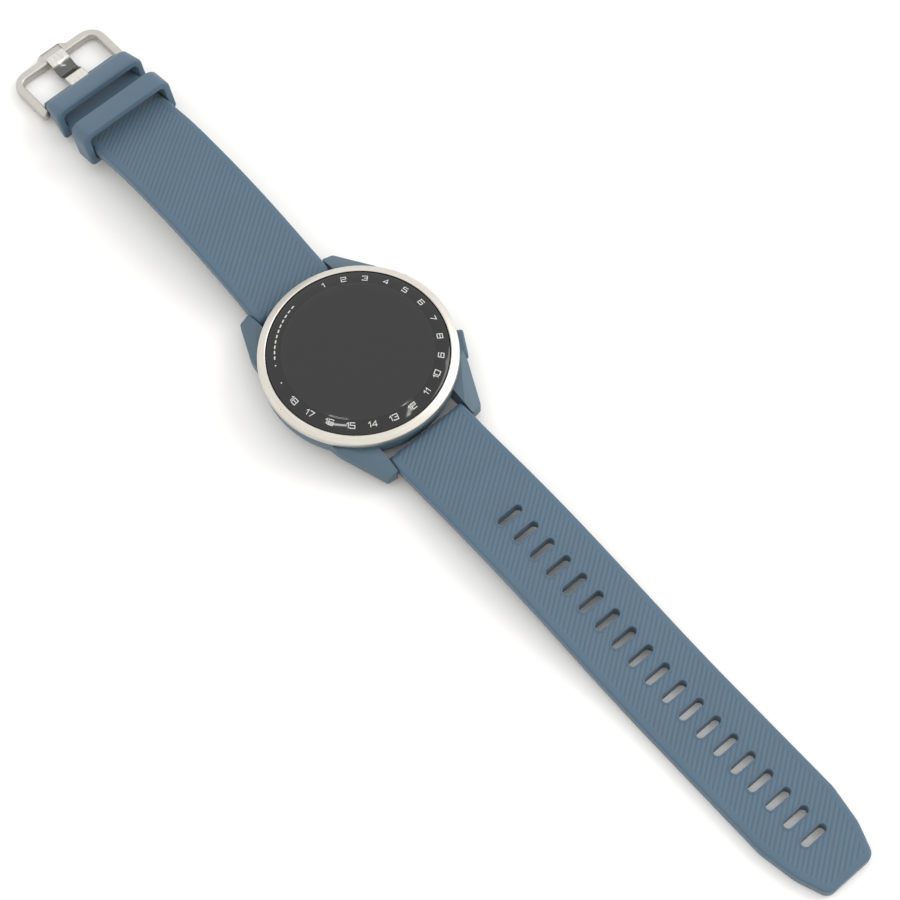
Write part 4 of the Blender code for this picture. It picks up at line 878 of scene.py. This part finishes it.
# %% Bezel
bezel = rounded([(19.86, 10.6, 0.09), (21.42, 9.66, 0.30), (21.5, 9.2, 0), (21.5, 8.4, 0.1), (19.65, 8.4, 0.1),
                 (19.65, 10.42, 0.05)], 5)
piece("bezel", turned(bezel), BEZEL_STEEL, "case", ["bezel_ring"])


# %% Glass
def dome(radius):
    """The height of the glass at a distance from its middle: flat, then falling away to the rim."""
    return 11.4 - 0.10 * (radius / 19.55) ** 2 - 0.95 * (max(0.0, radius - 13.6) / 5.95) ** 2


lens_section = [(19.34 * i / 56, dome(19.34 * i / 56)) for i in range(57)]
lens_section += arc((19.27, 10.10), 0.28, 55, 0, 5) + [(19.55, 9.2), (0, 9.2)]
piece("domed_lens", turned(lens_section), DOMED_GLASS, "case", ["cover_glass"], sharp=40)

# %% [markdown]
# # Numerals and ticks
# Eighteen holes are counted round the glass rim, clockwise from the top. Text objects would bring a
# font that doesn't suit it, so each squarish digit is a few strokes of one width, mitred like tape
# and laid on the dome point by point. After 18 come two dots and a run of plain ticks, which a tree
# spaces along an arc.

# %% Numerals
NUMERAL_CIRCLE = 17.6
NUMERAL_HEIGHT = 1.34
NUMERAL_WIDTH = 1.02
STROKE = 0.18
INK = 0.02
STROKES = {
    "0": [[(0, 0), (1, 0), (1, 1), (0, 1), (0, 0.05)]],
    "1": [[(0.15, 0.72), (0.55, 1), (0.55, 0)]],
    "2": [[(0, 0.78), (0, 1), (1, 1), (1, 0.52), (0, 0.48), (0, 0), (1, 0)]],
    "3": [[(0, 0.82), (0, 1), (1, 1), (1, 0), (0, 0), (0, 0.18)], [(0.3, 0.5), (1, 0.5)]],
    "4": [[(0.8, 0), (0.8, 1), (0, 0.3), (1.05, 0.3)]],
    "5": [[(1, 1), (0, 1), (0, 0.56), (1, 0.52), (1, 0), (0, 0), (0, 0.2)]],
    "6": [[(0.95, 0.85), (0.95, 1), (0, 1), (0, 0), (1, 0), (1, 0.54), (0, 0.54)]],
    "7": [[(0, 1), (1, 1), (0.4, 0)]],
    "8": [[(0, 0), (1, 0), (1, 1), (0, 1), (0, 0.05)], [(0, 0.52), (1, 0.52)]],
    "9": [[(0.05, 0.15), (0.05, 0), (1, 0), (1, 1), (0, 1), (0, 0.46), (1, 0.46)]],
}


def ink_line(corners):
    """A line of ink of one width through the corners, its outer sides mitred."""
    path = [Vector(corner) for corner in corners]
    left, other = [], []
    for i, point in enumerate(path):
        before = (point - path[i - 1]).normalized() if i else (path[1] - point).normalized()
        after = (path[i + 1] - point).normalized() if i + 1 < len(path) else before
        normal = Vector((-before.y - after.y, before.x + after.x)).normalized()
        reach = STROKE / 2 / max(0.5, normal.dot(Vector((-before.y, before.x))))
        left.append(point + normal * reach)
        other.append(point - normal * reach)
    shape = bmesh.new()
    for height in (0, INK):
        rows = [[shape.verts.new((*point, height)) for point in side] for side in (left, other)]
        skin(shape, rows, closed_rings=False)
        rims = [rows[0] + rows[1][::-1]] + ([rims[0]] if height else [])
    skin(shape, rims)
    return shape


def numeral_shape(number):
    digits = str(number)
    widths = [0.34 if digit == "1" else 1.0 for digit in digits]
    start = -(sum(widths) * NUMERAL_WIDTH + (len(digits) - 1) * 0.42) / 2
    lines = []
    for digit, share in zip(digits, widths):
        shift = start - (0.15 * NUMERAL_WIDTH if digit == "1" else 0.0)
        lines += [ink_line([(shift + x * NUMERAL_WIDTH, (y - 0.5) * (NUMERAL_HEIGHT - STROKE)) for x, y in stroke])
                  for stroke in STROKES[digit]]
        start += share * NUMERAL_WIDTH + 0.42
    shape = together(*lines)
    angle = math.radians(15 * number)
    facing = -angle if number < 10 else math.pi - angle
    place = Matrix.Translation((NUMERAL_CIRCLE * math.sin(angle), NUMERAL_CIRCLE * math.cos(angle), 0))
    bmesh.ops.transform(shape, matrix=place @ Matrix.Rotation(facing, 4, "Z"), verts=shape.verts)
    return shape


def lay_on_dome(shape):
    """Puts flat print on the glass, with enough points to follow it."""
    for vert in shape.verts:
        vert.co.z += dome(vert.co.xy.length) + 0.6 * INK
    return shape


numerals = lay_on_dome(together(*[numeral_shape(number) for number in range(1, 19)]))
piece("dial_numerals", numerals, WHITE_INK, "case")

# %% Ticks and dots
def ticks(name, count, start, sweep, length, width):
    """Rounded ticks along the rim, clockwise from the start angle, in degrees from the top."""
    growth = Growth(name)
    count = growth.ask("Count", "Int", count)
    circle = growth.ask("Circle Radius", "Float", NUMERAL_CIRCLE)
    begin = growth.ask("Start Angle", "Float", math.radians(90 - start))
    span = growth.ask("Sweep Angle", "Float", math.radians(-sweep))
    long = growth.ask("Tick Length", "Float", length)
    wide = growth.ask("Tick Width", "Float", width)
    path = growth.node("GeometryNodeCurveArc", {"mode": "RADIUS"},
                       {"Resolution": 96, "Radius": circle, "Start Angle": begin, "Sweep Angle": span})
    spots = add_node(growth.tree, "GeometryNodeCurveToPoints", {"mode": "COUNT"}, {"Curve": path, "Count": count})
    frame_of = growth.node("FunctionNodeAlignRotationToVector", {"axis": "X"}, {"Vector": spots.outputs["Tangent"]})
    outline = growth.node("GeometryNodeCurvePrimitiveQuadrilateral", {}, {"Width": long, "Height": wide})
    outline = growth.node("GeometryNodeFilletCurve", {"mode": "POLY"},
                          {"Curve": outline, "Count": 5, "Radius": growth.math("MULTIPLY", wide, 0.49)})
    face = growth.node("GeometryNodeFillCurve", {}, {"Curve": outline})
    solid = growth.node("GeometryNodeExtrudeMesh", {}, {"Mesh": face, "Offset Scale": INK, "Individual": False})
    both = growth.node("GeometryNodeJoinGeometry", {}, {})
    join = both.node
    growth.tree.links.new(solid, join.inputs[0])
    back = growth.node("GeometryNodeFlipFaces", {}, {"Mesh": face})
    growth.tree.links.new(back, join.inputs[0])
    copies = growth.node("GeometryNodeInstanceOnPoints", {},
                         {"Points": spots.outputs["Points"], "Instance": both, "Rotation": frame_of})
    return growth.shape(copies, WHITE_INK)


marks = together(ticks("dash_ticks", 11, 306.0, 42.0, 0.85, 0.30), ticks("dot_ticks", 2, 286.0, 14.0, 0.34, 0.32))
piece("dial_ticks", lay_on_dome(marks), WHITE_INK, "case")

# %% [markdown]
# # Straps
# A strap is a flat tongue of silicone that swells round its spring bar and follows a gentle curve
# down to the table. It is lofted: rows of points square to a middle line, each row pulled down at its
# edges so that they come out rounded. The rows turn the corner round the bar and come back below.

# %% The middle line and the strap's edge
LOWER_LINE = [(22.8, 4.25, 0.0), (50.0, 5.2, 0.0), (104.0, 1.4, 0.0), (148.0, 1.4, 0.0)]
UPPER_LINE = [(22.8, 4.25, 0.26), (56.0, 9.2, 0.0), (72.0, 8.114, -0.235), (97.6, 2.098, -0.235)]
BUCKLE_BAR_OUT = 97.6
BUCKLE_BAR_HEIGHT = 2.098
RAMP_SLOPE = 0.235
STRAP_HALF_WIDTH = 10.0
TOP_EDGE = 0.60
LOW_EDGE = 0.45


def line_height(line, y):
    for start, end in zip(line, line[1:]):
        if y <= end[0]:
            break
    span = end[0] - start[0]
    t = (y - start[0]) / span
    rise = start[1] * (2 * t**3 - 3 * t**2 + 1) + end[1] * (3 * t**2 - 2 * t**3)
    return rise + span * (start[2] * (t**3 - 2 * t**2 + t) + end[2] * (t**3 - t**2))


def line_frame(line, y):
    """The middle point and the unit normal at distance y, in the side view."""
    low, high = max(y - 0.05, line[0][0]), min(y + 0.05, line[-1][0])
    along = Vector((high - low, line_height(line, high) - line_height(line, low))).normalized()
    return Vector((y, line_height(line, y))), Vector((-along.y, along.x))


def half_thickness(from_bar):
    t = min(max(from_bar / 7.0, 0.0), 1.0)
    return 1.7 - 0.3 * (3 * t**2 - 2 * t**3)


def edge_drop(distance, edge):
    """How far the surface lies below its flat, at a distance in from the strap's outline."""
    return 0.0 if distance >= edge else edge - math.sqrt(max(0.0, edge**2 - (edge - distance) ** 2))


def spaced(start, end, pitch):
    count = math.ceil((end - start) / pitch)
    return [start + (end - start) * i / count for i in range(count + 1)]


# %% The tip's outline
TIP_HALF = [(6.0, 148.0, 2.2), (8.6, 141.2, 9.0), (10.0, 132.9, 9.0)]


def tip_curve():
    """Points of the tip's right half, from the middle of its end round to the straight side."""
    corners = [(0.0, 148.0, 0.0), *TIP_HALF, (10.0, 100.0, 0.0), (0.0, 100.0, 0.0)]
    return [Vector(point) for point in rounded(corners, 16)][:-2]


TIP_CURVE = tip_curve()


def tip_half_width(y):
    for here, there in zip(TIP_CURVE[1:], TIP_CURVE[2:]):
        if here.y >= y > there.y:
            share = (here.y - y) / (here.y - there.y)
            return here.x + (there.x - here.x) * share
    return STRAP_HALF_WIDTH if y < 140 else TIP_CURVE[1].x


def distance_to_tip_edge(x, y):
    point = Vector((abs(x), y))
    nearest = STRAP_HALF_WIDTH - abs(x)
    if y < 128:
        return nearest
    for here, there in zip(TIP_CURVE, TIP_CURVE[1:]):
        side = there - here
        share = min(1.0, max(0.0, (point - here).dot(side) / side.length_squared))
        nearest = min(nearest, (here + side * share - point).length)
    return max(0.0, nearest)


print("half width at 145 mm:", round(tip_half_width(145.0), 2), "mm")

# %% Lofting a strap
WRAP_STEPS = 16
IN_FROM_EDGE = [0.0, 0.04, 0.14, 0.30, 0.45, 0.60, 1.4, 1.9]


def columns(half_width):
    right_side = [half_width - distance for distance in IN_FROM_EDGE]
    inner = half_width - IN_FROM_EDGE[-1]
    return [-x for x in right_side] + [inner * share for share in (-0.6, -0.2, 0.2, 0.6)] + right_side[::-1]


def strap_rows(line, side, stations, bar_at_end, half_width, edge_distance):
    """Rows of (point, inset, how much it faces up), round from the top to the underside."""
    def row(middle, normal, y, half, edge, face):
        points = []
        for x in columns(half_width(y)):
            inside = edge_distance(x, y)
            place = middle + normal * (half - edge_drop(inside, edge))
            points.append((Vector((x, side * place.x, place.y)), inside, face))
        return points

    def wrapped(knot, normal, turn):
        rows = []
        for i in range(1, WRAP_STEPS):
            share = i / WRAP_STEPS
            around = Matrix.Rotation(turn * math.pi * share, 2) @ normal
            edge = TOP_EDGE + (LOW_EDGE - TOP_EDGE) * share
            rows.append(row(Vector(knot[:2]), around, knot[0], 1.7, edge, 1.0 if share < 0.36 else 0.0))
        return rows

    top, under = [], []
    for y in stations:
        middle, normal = line_frame(line, y)
        half = half_thickness(y - line[0][0])
        if bar_at_end:
            half = max(half, half_thickness(line[-1][0] - y))
        ridged = 0.0 if bar_at_end and y > line[-1][0] - 10.0 else 1.0
        top.append(row(middle, normal, y, half, TOP_EDGE, ridged))
        under.append(row(middle, -normal, y, half, LOW_EDGE, 0.0))
    rows = top[::-1] + wrapped(line[0], line_frame(line, line[0][0])[1], 1) + under
    if bar_at_end:
        rows += wrapped(line[-1], -line_frame(line, line[-1][0])[1], 1)
    return rows


def strap(line, side, stations, bar_at_end, half_width, edge_distance):
    shape = bmesh.new()
    face_map = shape.loops.layers.uv.new("strap_face")
    rows = strap_rows(line, side, stations, bar_at_end, half_width, edge_distance)
    verts = [[shape.verts.new(point) for point, _, _ in row] for row in rows]
    notes = {vert: (inside, face) for row, line_of in zip(rows, verts) for (_, inside, face), vert in zip(row, line_of)}
    pairs = list(zip(verts, verts[1:])) + ([(verts[-1], verts[0])] if bar_at_end else [])
    for here, there in pairs:
        for j in range(len(here) - 1):
            made = shape.faces.new([here[j], here[j + 1], there[j + 1], there[j]])
            for loop in made.loops:
                loop[face_map].uv = notes[loop.vert]
    count = len(stations)
    for j in (0, -1):
        for i in range(count - 1):
            above, below = count - 1 - i, count + WRAP_STEPS - 1 + i
            shape.faces.new([verts[above][j], verts[above - 1][j], verts[below + 1][j], verts[below][j]])
        shape.faces.new([verts[k][j] for k in range(count - 1, count + WRAP_STEPS)])
        if bar_at_end:
            shape.faces.new([verts[k][j] for k in range(2 * count + WRAP_STEPS - 2, len(verts))] + [verts[0][j]])
    if not bar_at_end:
        for j in range(len(verts[0]) - 1):
            shape.faces.new([verts[0][j], verts[0][j + 1], verts[-1][j + 1], verts[-1][j]])
    return shape


# %% Lower strap
SLOT_COUNT = 19
SLOT_LENGTH = 6.2
SLOT_WIDTH = 1.9
SLOT_PITCH = 4.96
FIRST_SLOT = 48.2


def bore(y, z):
    """The hole for a spring bar, right through the strap."""
    return rod(0.83, -10.6, 10.6, Matrix.Translation((0, y, z)) @ ALONG_X, 40)


def lever_window(side):
    return block((3.1, side * LUG_BAR_OUT - 1.6, 0.55), (6.6, side * LUG_BAR_OUT + 1.6, 3.95))


def lower_strap_blank():
    near_tip = [148.0 - step for step in (0, 0.03, 0.10, 0.22, 0.38, 0.55, 0.75, 1.0, 1.3, 1.65, 2.05)]
    stations = spaced(LUG_BAR_OUT, 145.5, 0.62) + near_tip[::-1]
    return strap(LOWER_LINE, -1, stations, False, tip_half_width, distance_to_tip_edge)


slots = together(*[plate(pill(SLOT_LENGTH, SLOT_WIDTH, (0, -FIRST_SLOT - SLOT_PITCH * i)), -2, 12)
                   for i in range(SLOT_COUNT)])
lower = boolean(lower_strap_blank(), ("DIFFERENCE", slots), ("DIFFERENCE", bore(-LUG_BAR_OUT, LUG_BAR_HEIGHT)),
                ("DIFFERENCE", lever_window(-1)))
piece("slotted_strap_silicone", lower, RIDGED_SILICONE, "slotted_strap", ["lower_strap"], sharp=50)

# %% [markdown]
# # Slot rims
# Every slot is edged with a fine raised rim, so that the tongue doesn't tear it. Nineteen equal rims
# at one pitch are work for Geometry Nodes: a line of points above the strap, a ray from each down to
# an uncut copy of the strap for its height and tilt, and a thin cord bent round the slot's outline.

# %% Rims on every slot
def slot_rims(blank):
    growth = Growth("slot_rims")
    count = growth.ask("Slot Count", "Int", SLOT_COUNT)
    first = growth.ask("First Slot", "Float", -FIRST_SLOT)
    pitch = growth.ask("Slot Pitch", "Float", -SLOT_PITCH)
    length = growth.ask("Slot Length", "Float", SLOT_LENGTH)
    width = growth.ask("Slot Width", "Float", SLOT_WIDTH)
    cord = growth.ask("Rim Width", "Float", 0.50)
    proud = growth.ask("Rim Height", "Float", 0.13)
    target = growth.node("GeometryNodeObjectInfo", {}, {"Object": growth.ask("Strap", "Object", blank)}, "Geometry")
    points = growth.node("GeometryNodeMeshLine", {}, {"Count": count, "Start Location": growth.vector(y=first, z=20.0),
                                                     "Offset": growth.vector(y=pitch)})
    ray = add_node(growth.tree, "GeometryNodeRaycast", {}, {"Target Geometry": target, "Ray Length": 60.0,
                                                            "Ray Direction": (0, 0, -1)})
    tilt = growth.node("FunctionNodeAlignRotationToVector", {"axis": "Z"}, {"Vector": ray.outputs["Hit Normal"]})
    outline = growth.node("GeometryNodeCurvePrimitiveQuadrilateral", {},
                          {"Width": growth.math("ADD", length, cord), "Height": growth.math("ADD", width, cord)})
    half = growth.math("MULTIPLY", growth.math("ADD", width, cord), 0.499)
    outline = growth.node("GeometryNodeFilletCurve", {"mode": "POLY"}, {"Curve": outline, "Count": 9, "Radius": half})
    section = growth.node("GeometryNodeCurvePrimitiveCircle", {},
                          {"Resolution": 10, "Radius": growth.math("MULTIPLY", cord, 0.5)})
    rim = growth.node("GeometryNodeCurveToMesh", {}, {"Curve": outline, "Profile Curve": section})
    sunk = growth.math("SUBTRACT", proud, growth.math("MULTIPLY", cord, 0.5))
    rim = growth.node("GeometryNodeTransform", {}, {"Geometry": rim, "Translation": growth.vector(z=sunk)})
    copies = growth.node("GeometryNodeInstanceOnPoints", {}, {"Points": points, "Instance": rim, "Rotation": tilt})
    dropped = growth.node("GeometryNodeSetPosition", {}, {"Geometry": copies, "Position": ray.outputs["Hit Position"]})
    return growth.shape(dropped, PLAIN_SILICONE)


blank = rough_object(lower_strap_blank())
piece("slot_rims", slot_rims(blank), PLAIN_SILICONE, "slotted_strap", sharp=80)
bpy.data.objects.remove(blank, do_unlink=True)

# %% [markdown]
# # Keepers
# Two bands hold the strap's tail: one is moulded onto the buckle strap and slopes down behind, the
# other slides. A band is a loop of sections, each a small rectangle with rolled corners between the
# inner and the outer outline, so its edges stay even all the way round.

# %% A band of silicone
LOOP_STEPS = 8


def loop_outline(half, low, high, radius, low_radius):
    """A rounded rectangle whose sides are divided too, so that two of them match point for point."""
    outline = rounded([(-half, low, low_radius), (half, low, low_radius), (half, high, radius), (-half, high, radius)],
                      LOOP_STEPS)
    per_corner = LOOP_STEPS + 1
    divided = []
    for k in range(4):
        turn = outline[k * per_corner:(k + 1) * per_corner]
        following = Vector(outline[((k + 1) % 4) * per_corner])
        last = Vector(turn[-1])
        divided += [Vector(point) for point in turn]
        divided += [last.lerp(following, i / LOOP_STEPS) for i in range(1, LOOP_STEPS)]
    return divided


RAMP = math.atan(-RAMP_SLOPE)


def on_ramp(before_bar):
    """The frame of a band at this distance before the buckle bar: x across, y up, z along to the case."""
    place = Matrix.Translation((0, BUCKLE_BAR_OUT - before_bar, BUCKLE_BAR_HEIGHT + RAMP_SLOPE * before_bar))
    return place @ Euler((math.pi / 2 + RAMP, 0, 0)).to_matrix().to_4x4()


def band(outer, inner, length, matrix, edge=0.55, flare=0.0, crown=0.0):
    """A closed band. The flare drags its skirts back, and the crown rounds its roof along the strap."""
    inner_edge = 0.25
    shape = bmesh.new()
    rings = []
    top = max(point.y for point in outer)
    for out, into in zip(outer, inner):
        across = out - into
        width = across.length
        section = rounded([(0, 0, inner_edge), (width, 0, edge), (width, -length, edge), (0, -length, inner_edge)], 6)
        ring = []
        for s, along in section:
            point = into + across.normalized() * s
            back = -along / length
            depth = min(1.0, max(0.0, (top - point.y) / (top - 1.4)))
            lean = flare * back * depth
            narrow = 1 - 0.16 * back * depth if flare else 1.0
            lift = -crown * (2 * back - 1) ** 2 * (s / width) if point.y > 3 else 0.0
            slope = -0.9 * back**2 * (s / width) if flare and point.y > 3 else 0.0
            ring.append(shape.verts.new(matrix @ Vector((point.x * narrow, point.y + lift + slope, along - lean))))
        rings.append(ring)
    skin(shape, rings + [rings[0]])
    return shape


# %% Sliding keeper and moulded keeper
free = band(loop_outline(12.0, -2.9, 6.3, 2.6, 0.9), loop_outline(10.3, -1.7, 4.5, 1.1, 0.4), 5.4, on_ramp(19.2),
            crown=0.12)
piece("sliding_keeper", free, PLAIN_SILICONE, "loose_keeper", ["free_keeper"], sharp=50)

moulded = band(loop_outline(12.0, -2.0, 6.3, 2.6, 0.9), loop_outline(10.3, 1.0, 4.5, 1.1, 0.2), 5.5, on_ramp(8.95),
               edge=0.7, flare=3.2)

# %% Buckle strap
def upper_strap():
    stations = spaced(LUG_BAR_OUT, BUCKLE_BAR_OUT, 0.62)
    tongue_room = block((-2.7, 95.45, -3), (2.7, 101, 7))
    whole = strap(UPPER_LINE, 1, stations, True, lambda y: STRAP_HALF_WIDTH, lambda x, y: STRAP_HALF_WIDTH - abs(x))
    return boolean(whole, ("UNION", moulded),
                   ("DIFFERENCE", bore(LUG_BAR_OUT, LUG_BAR_HEIGHT)),
                   ("DIFFERENCE", bore(BUCKLE_BAR_OUT, BUCKLE_BAR_HEIGHT)),
                   ("DIFFERENCE", lever_window(1)),
                   ("DIFFERENCE", tongue_room))


piece("buckle_strap_silicone", upper_strap(), RIDGED_SILICONE, "buckle_strap", ["upper_strap"],
      sharp=50)

# %% [markdown]
# # Buckle and tongue
# The buckle is a steel frame cut from thick plate, tumbled until its edges are round and brushed.
# The tongue is a strip rolled round the bar, pressed into a dip, and resting in a notch at the front.
# Both are plates of a drawn outline: the frame seen from above, and the tongue seen from the side.

# %% Buckle frame
BUCKLE_PLACE = (Matrix.Translation((0, BUCKLE_BAR_OUT, BUCKLE_BAR_HEIGHT))
                @ Euler((-math.radians(4.35), 0, 0)).to_matrix().to_4x4())


def buckle_outline():
    half = [(10.25, 9.9, 1.6), (10.25, -1.6, 0.9), (12.25, -1.6, 0.9), (12.25, 12.0, 4.2), (4.2, 12.0, 0.8),
            (2.8, 13.2, 1.0)]
    return rounded(half + [(-x, y, radius) for x, y, radius in reversed(half)], 12)


def buckle_frame():
    holes = rod(0.5, -BAR_REACH, BAR_REACH, BUCKLE_PLACE @ ALONG_X)
    notch = plate([(-2.55, 8.5), (2.55, 8.5), (2.55, 13.0), (-2.55, 13.0)], 0.7, 2.0, matrix=BUCKLE_PLACE)
    return boolean(plate(buckle_outline(), -1.1, 1.1, 0.62, BUCKLE_PLACE, 7), ("DIFFERENCE", holes),
                   ("DIFFERENCE", notch))


piece("buckle_loop", buckle_frame(), BUCKLE_STEEL, "buckle", ["buckle_frame"], sharp=40)


# %% Tongue
CURVE_STEPS = 14


def curve_points(start, handles, end):
    """Points along a Bezier curve."""
    points = []
    for i in range(CURVE_STEPS + 1):
        t = i / CURVE_STEPS
        a, b, c = start.lerp(handles[0], t), handles[0].lerp(handles[1], t), handles[1].lerp(end, t)
        points.append(a.lerp(b, t).lerp(b.lerp(c, t), t))
    return points


def ribbon(path, thickness):
    left, right_side = [], []
    for i, point in enumerate(path):
        along = (path[min(i + 1, len(path) - 1)] - path[max(i - 1, 0)]).normalized()
        normal = Vector((-along.y, along.x)) * (thickness / 2)
        left.append(point + normal)
        right_side.append(point - normal)
    return left + right_side[::-1]


NOTCH_FLOOR = 0.7
TONGUE_THICKNESS = 0.7


def tongue_line():
    """The middle of the strip, seen from the side with the bar at the origin."""
    rest = NOTCH_FLOOR + 0.1 + TONGUE_THICKNESS / 2
    wrap = [Vector(point) for point in arc((0, 0), 1.5, 320, 90, 30)]
    flat_end = Vector((2.4, 1.5))
    low = Vector((5.8, rest - 1.3))
    landing = Vector((9.2, rest))
    down = [flat_end.lerp(low, 0.33) + Vector((0.9, -0.2)), low - Vector((1.4, 0))]
    climb = [low + Vector((1.4, 0)), landing - Vector((1.0, 0.1))]
    over = [landing + Vector((0.19 * i, 0.10 * math.sin(math.pi * i / 8))) for i in range(1, 9)]
    return wrap + curve_points(flat_end, down, low) + curve_points(low, climb, landing)[1:] + over


tongue = plate(ribbon(tongue_line(), TONGUE_THICKNESS), -2.4, 2.4, 0.16, BUCKLE_PLACE @ SIDE_VIEW, 4)
piece("pin_tongue", tongue, TONGUE_STEEL, "tongue", ["buckle_tongue"], sharp=40)

# %% [markdown]
# # Buttons
# Two oblong buttons stand out of the right side of the case, each on a grooved stem that carries its
# seal and clip. The cap is a plate with rolled rims, and the stem is turned and joined to it.

# %% Button caps with their stems
STEM = [(0, 21.3), (0.95, 21.3), (0.95, 19.75), (0.65, 19.75), (0.65, 19.15), (0.95, 19.15), (0.95, 18.45),
        (0.65, 18.45), (0.65, 18.0), (0.95, 18.0), (0.95, 17.7), (0, 17.7)]


def button(side):
    place = button_frame(side)
    return boolean(plate(button_outline(0), 20.9, 23.1, 0.55, place, 6), ("UNION", turned(STEM, 48, place)))


for name, side in (("upper", 1), ("lower", -1)):
    piece(f"{name}_button_cap", button(side), CASE_POLYMER, f"{name}_push_button", [f"{name}_button"],
          sharp=40)

# %% [markdown]
# # Everything else
# The bars, springs, seals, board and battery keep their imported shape, which is already right, and
# only take a finish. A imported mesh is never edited, so this step touches nothing but materials.

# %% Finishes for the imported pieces
FINISH_OF = {
    BUCKLE_STEEL: ["lower_bar_tube", "upper_bar_tube", "buckle_bar_tube", "buzzer_can", "buzzer_rotor"],
    BRIGHT_STEEL: ["lower_bar_fixed_tip", "lower_bar_spring", "lower_bar_release_pin", "upper_bar_fixed_tip",
                   "upper_bar_spring", "upper_bar_release_pin", "buckle_bar_spring", "buckle_bar_tip_left",
                   "buckle_bar_tip_right", "upper_button_clip", "lower_button_clip"],
    BLACK_RUBBER: ["lens_gasket", "rear_gasket", "upper_button_seal", "lower_button_seal"],
    BLACK_PLASTIC: ["inner_frame", "main_chip", "buzzer_base", "charging_port", "upper_switch", "lower_switch",
                    "upper_switch_plunger", "lower_switch_plunger"],
    GOLD: ["charging_pin_1", "charging_pin_2", "charging_pin_3", "charging_pin_4"],
    CERAMIC: ["gps_antenna"],
    DISPLAY: ["display_panel"],
    POLYIMIDE: ["display_flex"],
    CIRCUIT_BOARD: ["circuit_board"],
    BATTERY_FOIL: ["battery"],
}
dressed = set()
for finish, names in FINISH_OF.items():
    for name in names:
        mesh = nodes[name].data
        if not mesh.materials:
            mesh.materials.append(finish)
        for slot in nodes[name].material_slots:
            slot.material = finish
        dressed.add(name)
rebuilt = {"middle_case", "rear_cover", "rear_screw_1", "rear_screw_2", "rear_screw_3", "rear_screw_4", "bezel_ring",
           "cover_glass", "lower_strap", "upper_strap", "free_keeper", "buckle_frame", "buckle_tongue",
           "upper_button", "lower_button"}
print("packed pieces with no finish:", sorted(set(nodes) - dressed - rebuilt))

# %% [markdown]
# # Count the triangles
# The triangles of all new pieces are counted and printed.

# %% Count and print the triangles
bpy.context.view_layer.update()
triangles = sum(len(obj.data.loop_triangles) for obj in made_pieces)
print(f"{len(made_pieces)} new pieces with {triangles} triangles")
